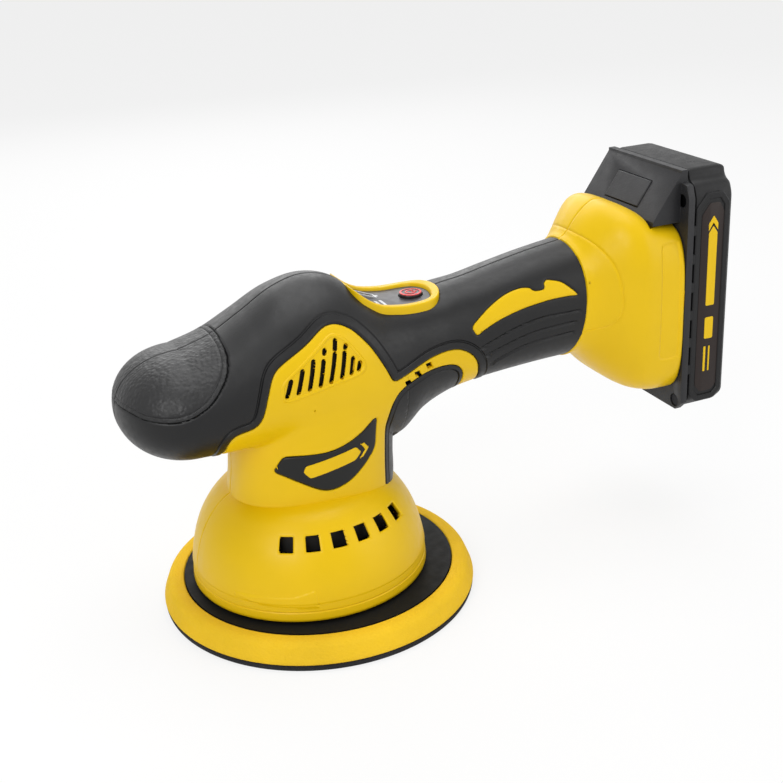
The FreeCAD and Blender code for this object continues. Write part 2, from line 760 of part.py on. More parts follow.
seat, reach = size("screw_seat"), size("screw_seat") - size("screw_length")
wells, pilots, screws = [], [], []
for x, z in SCREW_PLACES:
    wells.append(along_y(size("screw_head_radius") + 0.3, x, z, seat, FAR))
    wells.append(along_y(size("screw_radius") + fit, x, z, 0, seat))
    pilots.append(along_y(size("screw_radius") + fit / 2, x, z, reach - 1, 0))
    shank = along_y(size("screw_radius"), x, z, reach, seat)
    head = along_y(size("screw_head_radius"), x, z, seat, seat + size("screw_head_height"))
    screws.append(shank.fuse(head))
made("case_screws", Part.makeCompound(screws), "housing_screws")


def half_space(side):
    """The room on one side of the parting plane."""
    low = 0 if side == RIGHT else -2 * FAR
    return Part.makeBox(4 * FAR, 2 * FAR, 3 * FAR, Vector(-FAR, low, 0))


for word, side in SIDES.items():
    half = shell.common(half_space(side)).cut(wells if side == RIGHT else pilots)
    made(f"case_{word}", half, f"housing_{word}")

rubber = skin.cut([window, crescent, hook_strip, badge, throat, panel_seat]).common(
    Part.makeBox(4 * FAR, 2 * FAR, FAR, Vector(-FAR, -FAR, 60)))
grip_rear = -size("nose_grip_end")
grip_cut = prism([(-FAR, 113), (grip_rear - 22, 113), (grip_rear - 9, 120), (grip_rear - 2, 130),
                  (grip_rear, 138), (grip_rear, FAR + 50), (-FAR, FAR + 50)], -FAR, FAR)
trim = skin.common(throat).cut(bell_outer)
for word, side in SIDES.items():
    room = half_space(side)
    holes = wells if side == RIGHT else pilots
    made(f"rubber_{word}", rubber.cut(grip_cut).common(room).cut(holes), f"overmould_{word}")
    made(f"nose_{word}", rubber.common(grip_cut).common(room).cut(holes), f"nose_grip_{word}")
    made(f"badge_plate_{word}", skin.common(badge).common(room), f"badge_{word}")
    made(f"trim_{word}", trim.common(room).cut(holes), f"throat_trim_{word}")

# ------------------------------------------------------------- control panel

window_half = size("bezel_half_width") - border
bezel = panel_slab(-BEZEL_DEPTH, 9)
crown_trim = [(size("bezel_front") - 5, 156), (36, panel_height(36) + 1.6),
              (size("bezel_rear") + 5, panel_height(size("bezel_rear")) + 2.4),
              (size("bezel_rear") + 5, 170), (size("bezel_front") - 5, 170)]
bezel = bezel.cut(prism(crown_trim, -FAR, FAR)).cut(panel_slab(-30, 30, border))
bezel = bezel.cut(panel_slab(-30, 0, border - 1.5))
made("bezel", bezel, "control_bezel")

button_x = size("button_x")
panel_normal = Vector(panel_height(0) - panel_height(1), 0, 1)
panel_normal.normalize()
button_top = Vector(button_x, 0, panel_height(button_x))


def along_panel(radius, low, high):
    """A cylinder square to the panel, from low to high above its plane."""
    return Part.makeCylinder(radius, high - low, button_top + panel_normal * low, panel_normal)


panel = panel_slab(-size("panel_thickness"), -0.02, border - 1.5 + fit)
panel = panel.cut(along_panel(size("button_radius") + 0.3, -10, 10))
made("panel", panel, "control_panel")

switch_top = size("board_bottom + board_thickness") + 3
stem = panel_height(button_x) - switch_top - size("button_travel") - 0.3
button = along_panel(size("button_radius"), -4, 0.6).fuse(along_panel(2, -stem, -3))
made("button", button, "power_button")

node(block("board", "34", "22", "board_thickness", "33", "-11", "board_bottom"), "control_board")
node(block("tact", "7", "7", "3", "button_x - 3.5 - 1", "-3.5", "board_bottom + board_thickness"),
     "power_switch")

# ------------------------------------------------- controller and its leads

node(block("controller", "controller_length", "24", "20", "controller_front", "-12", "104"),
     "motor_controller")


def leads(label, count, pitch, start, end, z):
    """Parallel insulated wires along X, one node."""
    wires = [cylinder(f"{label}_{index}", "1.1", f"({end}) - ({start})", x=start,
                      y=str(pitch * (index - (count - 1) / 2)), z=z, axis="x")
             for index in range(count)]
    node(compound(label, wires), label)


leads("motor_leads", 3, 5, "frame_radius + 0.3", "controller_front - 0.1", "112")
leads("battery_leads", 2, 8, "controller_front + controller_length + 0.1",
      "foot_rear - rail_depth - free_clearance - 3.1", "116")

# ----------------------------------------------------------- battery terminals

BLADES = 5
BLADE_PITCH = 6
TERMINAL_FRONT = "(foot_rear - rail_depth + 0.4)"
TERMINAL_TOP = "(channel_floor + terminal_height)"
node(block("terminals", "10", "32", "terminal_height", TERMINAL_FRONT, "-16", "channel_floor"),
     "terminal_block")
blades, clips = [], []
for index in range(BLADES):
    y = BLADE_PITCH * (index - (BLADES - 1) / 2)
    blades.append(block(f"blade_{index}", "5", "0.8", "blade_height", f"{TERMINAL_FRONT} + 2.6",
                        str(y - 0.4), TERMINAL_TOP))
    for side in (-1, 1):
        clips.append(block(f"clip_{index}_{side + 1}", "6", "0.7", "10", f"{TERMINAL_FRONT} + 3.1",
                           str(y + side * 1.05 - 0.35), "rail_bottom + 6"))
node(compound("blades", blades), "terminal_blades")
node(compound("clips", clips), "pack_terminals")

# ------------------------------------------------------------------- battery


def slab(points, low, high):
    """A solid between x = low and x = high from an outline of (y, z) points."""
    corners = [Vector(low, y, z) for y, z in points]
    face = Part.Face(Part.makePolygon(corners + corners[:1]))
    return face.extrude(Vector(high - low, 0, 0))


def mirrored(points):
    """Close an outline of (y, z) points on the right with its own mirror image."""
    return points + [(-y, z) for y, z in reversed(points)]


pack_half = size("foot_half_width")
low, shoulder, top = size("battery_bottom"), size("battery_shoulder"), size("battery_top")
tower_half, split = size("tower_half_width"), size("battery_split")
face, rear = size("foot_rear") + size("free_clearance"), size("battery_rear")
bumper = 4.5
case_outline = mirrored([(pack_half - bumper, low), (pack_half, low + bumper),
                         (pack_half, shoulder - 6), (pack_half - 2, shoulder),
                         (tower_half, shoulder + 1), (tower_half, top)])


def case_edges(wall):
    """Chamfers along the battery's rear edges, and its sloping top rear corner."""
    back = rear - wall
    cutters = [prism([(back - 7, top - wall + 0.01), (back + 9, top - wall - 13), (back + 9, top + 9),
                      (back - 7, top + 9)], -FAR, FAR),
               prism([(back - 5, low + wall - 0.01), (back + 5, low + wall + 10), (back + 5, low - 9),
                      (back - 5, low - 9)], -FAR, FAR)]
    for side in SIDES.values():
        corner = [Vector(back - 4, side * (pack_half - wall), 0),
                  Vector(back + 4, side * (pack_half - wall - 8), 0),
                  Vector(back + 4, side * (pack_half + 9), 0),
                  Vector(back - 4, side * (pack_half + 9), 0)]
        wedge = Part.Face(Part.makePolygon(corner + corner[:1]))
        cutters.append(wedge.extrude(Vector(0, 0, 2 * FAR)))
    return cutters


wall = size("battery_wall")
case_solid = slab(case_outline, split, rear).cut(case_edges(0))
room_outline = mirrored([(pack_half - wall, low + wall), (pack_half - wall, shoulder - 6),
                         (tower_half - wall, shoulder - wall), (tower_half - wall, top - wall)])
case_room = slab(room_outline, split - 5, rear - wall).cut(case_edges(wall))
PACK_SCREWS = [(y, z) for z in (low + 4.6, shoulder - 7.6) for y in (-32, 32)]
bosses = [Part.makeCylinder(2.8, rear - split - 4, Vector(split, y, z), Vector(1, 0, 0))
          for y, z in PACK_SCREWS]
LABEL_FRONT, LABEL_REAR, LABEL_LOW, LABEL_HIGH, LABEL_SKIN = 193, 206, 78, 168, 0.5
label_rooms = {
    word: Part.makeBox(LABEL_REAR - LABEL_FRONT, LABEL_SKIN, LABEL_HIGH - LABEL_LOW,
                       Vector(LABEL_FRONT, min(side * pack_half, side * (pack_half - LABEL_SKIN)),
                              LABEL_LOW))
    for word, side in SIDES.items()}
pad_room = Part.makeBox(8, 37, 1, Vector(193.5, -18.5, top - 1))
pack_case = case_solid.cut(case_room).fuse(bosses).cut(list(label_rooms.values()) + [pad_room])
pack_pilots = [Part.makeCylinder(size("screw_radius") + fit / 2, 12, Vector(split - 1, y, z),
                                 Vector(1, 0, 0)) for y, z in PACK_SCREWS]
made("pack_case", pack_case.cut(pack_pilots), "battery_rear_case")
made("pack_pad", pad_room, "battery_top_pad")
for word in SIDES:
    made(f"pack_label_{word}", label_rooms[word], f"battery_label_{word}")

# The front housing: cover plate, rail block and the tower with the release button.
tower_front, tower_bottom = size("tower_front"), size("tower_bottom")
slope_low = Vector(tower_front, 0, tower_bottom + 2)
slope_high = Vector(split - 2.5, 0, top)
slope = (slope_high - slope_low).normalize()
outward = Vector(-slope.z, 0, slope.x)
pocket_middle = slope_low + slope * 11.2


def on_slope(along, out):
    """The (x, z) place of a point on the tower's sloping face."""
    point = pocket_middle + slope * along + outward * out
    return (point.x, point.z)


def slope_block(half_length, low_out, high_out, half):
    outline = [on_slope(-half_length, low_out), on_slope(half_length, low_out),
               on_slope(half_length, high_out), on_slope(-half_length, high_out)]
    return prism(outline, -half, half)


cover = slab(case_outline, face, split)
tower = prism([(tower_front, tower_bottom), (split, tower_bottom), (split, top),
               (slope_high.x, top), (slope_low.x, slope_low.z)], -tower_half, tower_half)
block_front = size("foot_rear - rail_depth")
block_half, block_low = size("rail_half_width"), size("rail_bottom")
rail_block = Part.makeBox(face - block_front, 2 * block_half, tower_bottom - block_low,
                          Vector(block_front, -block_half, block_low))
clear = size("free_clearance")
grooves = [Part.makeBox(size("rail_thickness") + 2 * clear, size("rail_lip") + clear,
                        67 + clear, Vector(rail_front - clear, groove_low, block_low))
           for groove_low in (-block_half, block_half - size("rail_lip") - clear)]
block_room = Part.makeBox(face - block_front - 3.5, 36, 64,
                          Vector(block_front + 2, -18, block_low))
BUTTON_HALF, BUTTON_DEPTH, POCKET_DEPTH = 7, 4.2, 7.2
pocket = slope_block(BUTTON_HALF + 0.3, -POCKET_DEPTH, 20, size("release_half_width") + 0.3)
arm_room = Part.makeBox(5.4, 13, 14, Vector(block_front + 1.8, -6.5, 150.3))
nose_room = Part.makeBox(4, 13, 7.5, Vector(block_front - 1, -6.5, 150.3))
recesses = []
for y, z in PACK_SCREWS:
    recesses.append(Part.makeCylinder(size("screw_head_radius") + 0.2, 2.5, Vector(face, y, z),
                                      Vector(1, 0, 0)))
    recesses.append(Part.makeCylinder(size("screw_radius") + fit, 8, Vector(face, y, z),
                                      Vector(1, 0, 0)))
front = cover.fuse([tower, rail_block])
front = front.cut(grooves + [block_room, pocket, arm_room, nose_room] + recesses)
made("pack_front", front, "battery_front_housing")

pack_screws = []
for y, z in PACK_SCREWS:
    head = Part.makeCylinder(size("screw_head_radius") - 0.2, 2, Vector(face + 0.5, y, z),
                             Vector(1, 0, 0))
    shank = Part.makeCylinder(size("screw_radius"), 12, Vector(face + 1, y, z), Vector(1, 0, 0))
    pack_screws.append(head.fuse(shank))
made("pack_fasteners", Part.makeCompound(pack_screws), "battery_screws")

node(block("circuit", "1.6", "32", "52", "foot_rear + free_clearance - 3.1", "-16",
           "rail_bottom + 6"), "battery_board")

CELL_X = "(battery_split + cell_radius + free_clearance)"
CELL_PITCH = "(2 * cell_radius + 0.6)"
FIRST_CELL = "(battery_bottom + battery_wall + cell_radius + 5.4)"
cells, straps = [], []
for index in range(int(size("cell_count"))):
    cells.append(cylinder(f"cell_{index}", "cell_radius", "cell_length", x=CELL_X,
                          y="-cell_length / 2", z=f"{FIRST_CELL} + {index} * {CELL_PITCH}", axis="y"))
for word, place in (("left", "-cell_length / 2 - 0.3"), ("right", "cell_length / 2")):
    straps.append(block(f"strap_{word}", "8", "0.3", f"(cell_count - 1) * {CELL_PITCH} + 8",
                        f"{CELL_X} - 4", place, f"{FIRST_CELL} - 4"))
node(compound("cells", cells), "battery_cells")
node(compound("straps", straps), "cell_straps")

# ----------------------------------------------------- release button and latch

press = slope_block(BUTTON_HALF, -BUTTON_DEPTH, 0.5, size("release_half_width"))
spring_base = pocket_middle - outward * POCKET_DEPTH
spring_well = Part.makeCylinder(3.2, POCKET_DEPTH - 0.8, spring_base, outward)
made("release", press.cut(spring_well), "release_button")

arm_top = [on_slope(-BUTTON_HALF, -0.5 - (BUTTON_DEPTH - 0.5) * share) for share in (0.35, 0.95)]
arm = prism([(channel_front - 1.3, 152.5), (channel_front - 1.3, 155.5), (arm_top[0][0], 157),
             arm_top[0], arm_top[1], (arm_top[1][0], 152.5)], -6, 6)
made("latch", arm, "latch_hook")

SPRING_TURNS, SPRING_PITCH, SPRING_RADIUS, SPRING_WIRE = 4, 0.8, 2.3, 0.3
spiral = []
for step in range(12 * SPRING_TURNS + 1):
    angle = math.pi * step / 6
    spiral.append(Vector(SPRING_RADIUS * math.cos(angle), SPRING_RADIUS * math.sin(angle),
                         SPRING_PITCH * step / 12))
path = Part.BSplineCurve()
path.interpolate(spiral)
wire_end = Part.Wire([Part.makeCircle(SPRING_WIRE, spiral[0], path.tangent(0)[0])])
spring = Part.Wire([path.toShape()]).makePipeShell([wire_end], True, True)
coil = made("spring", spring, "latch_spring")
coil.Placement = FreeCAD.Placement(
    spring_base + outward * SPRING_WIRE, FreeCAD.Rotation(Vector(0, 0, 1), outward))

# -------------------------------------------------------------- check and write

doc.recompute()
for item in doc.Objects:
    if "Invalid" in item.State or "Error" in item.State:
        raise ValueError(f"{item.Name} failed: {item.State}")
os.makedirs("parts", exist_ok=True)
for item in NODES:
    if item.Shape.isNull() or not item.Shape.isValid() or not item.Shape.Solids:
        raise ValueError(f"{item.Label} has no valid solid")
    item.Shape.exportStep(f"parts/{item.Label}.step")
print(len(NODES), "sub-parts written")
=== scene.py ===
"""A cordless rotary polisher: the looks of each piece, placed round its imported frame."""
import math

import bmesh
import bpy
import numpy as np
from mathutils import Matrix, Vector

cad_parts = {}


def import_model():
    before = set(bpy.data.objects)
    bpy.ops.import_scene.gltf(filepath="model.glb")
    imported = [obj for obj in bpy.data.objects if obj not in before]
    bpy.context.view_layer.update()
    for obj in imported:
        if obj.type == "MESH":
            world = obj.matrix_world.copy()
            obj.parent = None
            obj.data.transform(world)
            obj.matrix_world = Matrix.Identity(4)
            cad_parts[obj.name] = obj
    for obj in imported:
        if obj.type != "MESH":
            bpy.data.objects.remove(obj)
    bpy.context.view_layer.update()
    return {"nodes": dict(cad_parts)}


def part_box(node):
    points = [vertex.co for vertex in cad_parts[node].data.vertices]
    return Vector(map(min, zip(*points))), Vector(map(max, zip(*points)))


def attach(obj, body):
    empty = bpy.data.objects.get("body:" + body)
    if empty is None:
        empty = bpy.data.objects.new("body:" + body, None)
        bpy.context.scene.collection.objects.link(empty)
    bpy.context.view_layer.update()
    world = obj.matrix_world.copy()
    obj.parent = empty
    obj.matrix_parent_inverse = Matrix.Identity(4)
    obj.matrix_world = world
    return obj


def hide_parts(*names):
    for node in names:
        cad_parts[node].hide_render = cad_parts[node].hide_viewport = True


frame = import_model()

# ------------------------------------------------------------------ foam pad
# A 150 mm disc of open-celled foam, cut round and bonded to the hook face
# under it. Its edge is soft and it is turned about the pad's own axis.


def tint(red, green, blue):
    """A screen colour (0 to 255) as linear light: the sRGB curve undone channel by channel."""
    parts = [value / 255 for value in (red, green, blue)]
    return tuple(v / 12.92 if v < 0.04045 else ((v + 0.055) / 1.055) ** 2.4 for v in parts) + (1,)


def finish(name, colour, roughness, grain=900.0, depth=0.15, mottle=0.05, spread=0.06,
           metallic=0.0, cells=0.0, cell_depth=0.0, shine=0.3):
    """A moulded or cast surface. Fine noise on object coordinates raises a grain and varies the
    gloss, coarse noise shifts the colour a little, and optional rounded cells give pores."""
    material = bpy.data.materials.new(name)
    material.use_nodes = True
    nodes, links = material.node_tree.nodes, material.node_tree.links
    shader = nodes["Principled BSDF"]
    shader.inputs["Metallic"].default_value = metallic
    shader.inputs["Specular IOR Level"].default_value = 0.5 if metallic else shine
    place = nodes.new("ShaderNodeTexCoord").outputs["Object"]

    def noise(scale, detail):
        texture = nodes.new("ShaderNodeTexNoise")
        texture.inputs["Scale"].default_value = scale
        texture.inputs["Detail"].default_value = detail
        links.new(place, texture.inputs["Vector"])
        return texture.outputs["Fac"]

    def spanned(source, low, high):
        span = nodes.new("ShaderNodeMapRange")
        span.inputs["From Min"].default_value = 0.3
        span.inputs["From Max"].default_value = 0.7
        span.inputs["To Min"].default_value = low
        span.inputs["To Max"].default_value = high
        links.new(source, span.inputs["Value"])
        return span.outputs["Result"]

    shade = nodes.new("ShaderNodeMix")
    shade.data_type = "RGBA"
    base = tint(*colour)
    shade.inputs["A"].default_value = tuple(v * (1 - mottle) for v in base[:3]) + (1,)
    shade.inputs["B"].default_value = tuple(min(1, v * (1 + mottle)) for v in base[:3]) + (1,)
    links.new(spanned(noise(28.0, 3.0), 0.0, 1.0), shade.inputs["Factor"])
    links.new(shade.outputs["Result"], shader.inputs["Base Color"])
    links.new(spanned(noise(grain * 0.2, 2.0), roughness - spread, roughness + spread),
              shader.inputs["Roughness"])
    bump = nodes.new("ShaderNodeBump")
    bump.inputs["Strength"].default_value = depth
    bump.inputs["Distance"].default_value = 0.0002
    links.new(noise(grain, 2.0), bump.inputs["Height"])
    last = bump
    if cells:
        pores = nodes.new("ShaderNodeTexVoronoi")
        pores.feature = "SMOOTH_F1"
        pores.inputs["Scale"].default_value = cells
        links.new(place, pores.inputs["Vector"])
        dent = nodes.new("ShaderNodeBump")
        dent.inputs["Strength"].default_value = cell_depth
        dent.inputs["Distance"].default_value = 0.0006
        dent.invert = True
        links.new(pores.outputs["Distance"], dent.inputs["Height"])
        links.new(bump.outputs["Normal"], dent.inputs["Normal"])
        last = dent
    links.new(last.outputs["Normal"], shader.inputs["Normal"])
    return material


def piece(name, points, faces, material, body, slot, replaced=(), crease=32, wall=0.0):
    """One object from points in millimetres and their faces: doubles are welded, faces are shaded
    smooth up to the crease angle, and an open skin gets an inner wall that closes its rim."""
    mesh = bpy.data.meshes.new(name)
    mesh.from_pydata((np.asarray(points)[:, :3] * 0.001).tolist(), [], np.asarray(faces).tolist())
    shape = bmesh.new()
    shape.from_mesh(mesh)
    bmesh.ops.remove_doubles(shape, verts=shape.verts, dist=0.00002)
    bmesh.ops.dissolve_degenerate(shape, edges=shape.edges, dist=0.000002)
    if not wall:
        bmesh.ops.recalc_face_normals(shape, faces=shape.faces)
    shape.to_mesh(mesh)
    shape.free()
    mesh.polygons.foreach_set("use_smooth", np.ones(len(mesh.polygons), bool))
    mesh.set_sharp_from_angle(angle=math.radians(crease))
    mesh.materials.append(material)
    made = bpy.data.objects.new(name, mesh)
    bpy.context.scene.collection.objects.link(made)
    if wall:
        inner = made.modifiers.new("wall", "SOLIDIFY")
        inner.thickness = wall * 0.001
        inner.offset = -1
    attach(made, body)
    if replaced:
        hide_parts(*replaced)
    return made


def grid_faces(rows, columns, close_rows=False, close_columns=False):
    """Quads between the neighbours of a rows by columns grid, wrapped round where it closes."""
    i, j = np.meshgrid(np.arange(rows - (not close_rows)), np.arange(columns - (not close_columns)),
                       indexing="ij")
    after_i, after_j = (i + 1) % rows, (j + 1) % columns
    return np.stack([i * columns + j, after_i * columns + j, after_i * columns + after_j,
                     i * columns + after_j], -1).reshape(-1, 4)


def rounded(corners, radius, steps=5):
    """A closed profile whose corners are replaced by short curves: each corner is a quadratic
    Bezier between two points that lie the radius, or a third of the side, away from it."""
    corners = np.asarray(corners, float)
    before, after = np.roll(corners, 1, 0) - corners, np.roll(corners, -1, 0) - corners
    reach_b = np.minimum(radius / np.linalg.norm(before, axis=1), 0.45)[:, None]
    reach_a = np.minimum(radius / np.linalg.norm(after, axis=1), 0.45)[:, None]
    start, end = corners + before * reach_b, corners + after * reach_a
    t = np.linspace(0, 1, steps)[None, :, None]
    curve = (start[:, None] * (1 - t) ** 2 + corners[:, None] * 2 * t * (1 - t)
             + end[:, None] * t ** 2)
    return curve.reshape(-1, 2)


def turned(profile, centre_x=0.0, sides=160):
    """A closed (radius, height) profile carried once round the upright axis at centre_x."""
    profile = np.asarray(profile, float)
    angle = np.linspace(0, 2 * np.pi, sides, endpoint=False)[:, None]
    radius, height = profile[:, 0][None], profile[:, 1][None]
    points = np.stack([centre_x + radius * np.cos(angle), radius * np.sin(angle),
                       height + 0 * angle], -1).reshape(-1, 3)
    return points, grid_faces(sides, len(profile), True, True)


PAD_X = 4.0
foam = finish("pad_foam_yellow", (238, 194, 34), 0.82, grain=1500, depth=0.5, mottle=0.07,
              cells=900, cell_depth=0.35)
foam_low, foam_high = (corner.z * 1000 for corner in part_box("pad_foam"))
plate_low, plate_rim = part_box("backing_plate")[0].z * 1000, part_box("backing_plate")[1].y * 1000
foam_disc = piece("foam_pad", *turned(rounded([
    (0.01, foam_low), (74.4, foam_low), (75, foam_low + 1.2), (72.2, foam_high - 1.6),
    (69.6, foam_high), (plate_rim + 0.3, foam_high), (plate_rim + 0.3, plate_low),
    (0.01, plate_low)], 1.4), PAD_X, 220), foam, "pad", "pad_foam", ["pad_foam"])

# ------------------------------------------------------------------ hook face
# A woven loop disc glued under the foam: it takes the polishing bonnet.
hook = finish("hook_loops", (38, 38, 40), 0.95, grain=2600, depth=0.9, mottle=0.25,
              cells=1400, cell_depth=0.8)
piece("hook_disc", *turned(rounded([(0.01, 0), (74, 0), (74.6, 1.5), (74.6, foam_low),
                                    (0.01, foam_low)], 0.7), PAD_X, 220),
      hook, "pad", "hook_fabric", ["hook_face"])

# -------------------------------------------------------------- backing plate
# The moulded plate that carries the foam: a flat flange with a rounded rim and
# a ribbed hub, bolted to the pad spindle through a steel washer.
plate_black = finish("plate_black", (21, 21, 20), 0.62, grain=1100, depth=0.25, mottle=0.1,
                     shine=0.12)
frame["nodes"]["backing_plate"].data.materials[0] = plate_black

# --------------------------------------------------------- motor and gear end
# Aluminium, steel and copper parts behind the bell: seen only from below and
# through the windows. They keep their built shapes and get their real metals.
METALS = {
    "aluminium": ((186, 188, 190), 0.38, ["eccentric_hub", "bearing_plate", "motor_end_bracket"]),
    "steel": ((150, 151, 154), 0.28, ["motor_shaft", "pad_spindle", "spindle_clip", "pad_stud",
              "pad_washer", "upper_bearing", "lower_bearing", "pad_bearing", "hub_grub_screw",
              "counterweight", "motor_frame", "latch_spring"]),
    "lamination": ((96, 97, 102), 0.5, ["stator_core", "rotor_core"]),
    "copper": ((178, 96, 52), 0.35, ["stator_coils"]),
    "magnet": ((62, 62, 66), 0.4, ["rotor_magnet"]),
    "black_screw": ((34, 34, 36), 0.36, ["motor_screws", "housing_screws", "battery_screws"]),
    "contact": ((196, 158, 84), 0.3, ["terminal_blades", "pack_terminals", "cell_straps"]),
}
for metal, (colour, gloss, names) in METALS.items():
    made_of = finish(metal, colour, gloss, grain=2200, depth=0.08, mottle=0.06, metallic=1.0)
    for name in names:
        frame["nodes"][name].data.materials[0] = made_of
INSIDES = {
    "board_green": ((28, 74, 48), 0.5, ["control_board", "motor_controller", "sensor_board",
                                        "battery_board"]),
    "lead_black": ((36, 34, 34), 0.55, ["motor_leads", "battery_leads"]),
    "cell_wrap": ((64, 104, 142), 0.4, ["battery_cells"]),
    "inner_black": ((26, 26, 27), 0.5, ["terminal_block", "cooling_fan", "power_switch",
                                        "latch_hook"]),
}
for plastic, (colour, gloss, names) in INSIDES.items():
    made_of = finish(plastic, colour, gloss, grain=1300, depth=0.15, mottle=0.08)
    for name in names:
        frame["nodes"][name].data.materials[0] = made_of

# --------------------------------------------------- yellow clamshell housing
# Two mirrored halves of glass-filled nylon in signal yellow, split down the
# middle: bell, upright column with its flush cheeks, hook strip and foot.


def smooth_table(at, places, values):
    """A curve through the values: cubic Hermite pieces with slopes from the neighbours."""
    places, values = np.asarray(places, float), np.asarray(values, float)
    slope = np.gradient(values, places)
    k = np.clip(np.searchsorted(places, at) - 1, 0, len(places) - 2)
    gap = places[k + 1] - places[k]
    t = np.clip((at - places[k]) / gap, 0, 1)
    return ((2 * t**3 - 3 * t**2 + 1) * values[k] + (t**3 - 2 * t**2 + t) * gap * slope[k]
            + (3 * t**2 - 2 * t**3) * values[k + 1] + (t**3 - t**2) * gap * slope[k + 1])


NOSE_START, NOSE_LENGTH, NOSE_HEIGHT, NOSE_POWER = -52.0, 30.5, 109.5, 2.1


def body_section(x):
    """Top, bottom, half-width, upper and lower corner powers of the body at x. In front of the
    nose's start the three sizes shrink to its tip by a superellipse."""
    back = np.maximum(x, NOSE_START)
    top = smooth_table(back, [-52, -38, -23, -7, 8, 25, 31, 36, 46, 57, 66, 72, 85, 100, 118, 141],
                       [132.8, 137, 145, 154, 157.2, 151, 145.5, 141.5, 139, 138.5, 139.3, 140.9,
                        142.7, 145.7, 149, 152.2])
    bottom = smooth_table(back, [-52, -38, -7, 8, 25, 35, 46, 57, 70, 85, 100, 118, 141],
                          [86, 85.5, 85, 83, 79, 74.5, 72, 82, 88.5, 92, 93.5, 94.5, 95])
    half = smooth_table(back, [-52, -38, -23, 8, 25, 35, 46, 57, 70, 85, 100, 118, 141],
                        [34.5, 35, 34.8, 34, 32.5, 30, 27, 25, 23.2, 22.4, 22.4, 22.9, 23.6])
    power = smooth_table(back, [-52, -20, 8, 25, 36, 57, 72, 100, 141],
                         [2.3, 2.15, 1.95, 2.2, 2.8, 3.0, 2.5, 2.3, 2.3])
    lower = smooth_table(back, [-52, 8, 30, 46, 60, 85, 141], [2.3, 2.3, 2.05, 1.8, 1.95, 2.3, 2.3])
    nose = np.clip((NOSE_START - x) / NOSE_LENGTH, 0, 1)
    nose = (1 - nose ** NOSE_POWER) ** (1 / NOSE_POWER)
    return (NOSE_HEIGHT + (top - NOSE_HEIGHT) * nose, NOSE_HEIGHT + (bottom - NOSE_HEIGHT) * nose,
            half * nose, power, lower)


def body_skin(x, turn):
    """The body's near surface: at each x a superellipse, turn running from the crown (pi / 2)
    down the side to the keel (-pi / 2). The upper half has its own corner power."""
    top, bottom, half, upper, lower = body_section(x)
    power = np.where(turn > 0, upper, lower)
    across, up = np.abs(np.cos(turn)) ** (2 / power), np.abs(np.sin(turn)) ** (2 / power)
    height = (top + bottom) / 2 + np.sign(turn) * up * (top - bottom) / 2
    return np.stack([x, -half * across, height], -1)


def body_half(x, z):
    """Half-width of the body at a place in side view, or zero outside its outline."""
    top, bottom, half, upper, lower = body_section(x)
    high = 2 * (z - (top + bottom) / 2) / np.maximum(top - bottom, 0.001)
    power = np.where(high > 0, upper, lower)
    return half * np.maximum(1 - np.abs(high) ** power, 0) ** (1 / power)


def column_skin(turn, z):
    """The column with the cheeks flush over it. In plan the column is a superellipse of power
    2.2; the body's own outline, found by sampling outwards along each ray and halving the last
    step, is joined to it by a smooth maximum."""
    heights = [40, 46, 54, 70, 84, 96, 108, 125, 150]
    centre = smooth_table(z, heights, [1.5, 1.5, 3, 4.6, 5.5, 5.5, 5, 5, 5])
    length = smooth_table(z, heights, [38.5, 38.5, 39.5, 38.7, 38.5, 38, 36, 22, 4])
    width = smooth_table(z, heights, [33, 32.5, 32, 32, 32.3, 31.4, 28.5, 15, 3])
    c, s = np.cos(turn), np.sin(turn)
    column = ((np.abs(c) / length) ** 2.2 + (np.abs(s) / width) ** 2.2) ** (-1 / 2.2)
    limit = np.where(c > 0, 50 - centre, 43 + centre) / np.maximum(np.abs(c), 0.02)
    limit = np.minimum(limit, 60)
    steps = np.linspace(0, 1, 90)
    reach = limit[..., None] * steps
    inside = np.abs(reach * s[..., None]) < body_half(centre[..., None] + reach * c[..., None],
                                                      z[..., None])
    last = np.where(inside.any(-1), steps[len(steps) - 1 - np.argmax(inside[..., ::-1], -1)], 0)
    low, high = last * limit, np.minimum(last + steps[1], 1) * limit
    for _ in range(12):
        middle = (low + high) / 2
        within = np.abs(middle * s) < body_half(centre + middle * c, z)
        low, high = np.where(within, middle, low), np.where(within, high, middle)
    body = np.where(inside.any(-1), low, 0)
    soft = np.where(z < 100, 3.0, np.maximum(3.0 - (z - 100) * 0.25, 0.2))
    reach = (column + body + np.sqrt((column - body) ** 2 + soft**2)) / 2
    return np.stack([centre + reach * c, reach * s, z], -1)


def smooth_outline(corners, per_side=4):
    """A closed curve through the corners by Catmull-Rom pieces."""
    p = np.asarray(corners, float)
    a, b, c, d = np.roll(p, 1, 0), p, np.roll(p, -1, 0), np.roll(p, -2, 0)
    t = np.linspace(0, 1, per_side, endpoint=False)[None, :, None]
    a, b, c, d = (v[:, None] for v in (a, b, c, d))
    return (0.5 * (2 * b + (c - a) * t + (2 * a - 5 * b + 4 * c - d) * t**2
                   + (3 * b - a - 3 * c + d) * t**3)).reshape(-1, 2)


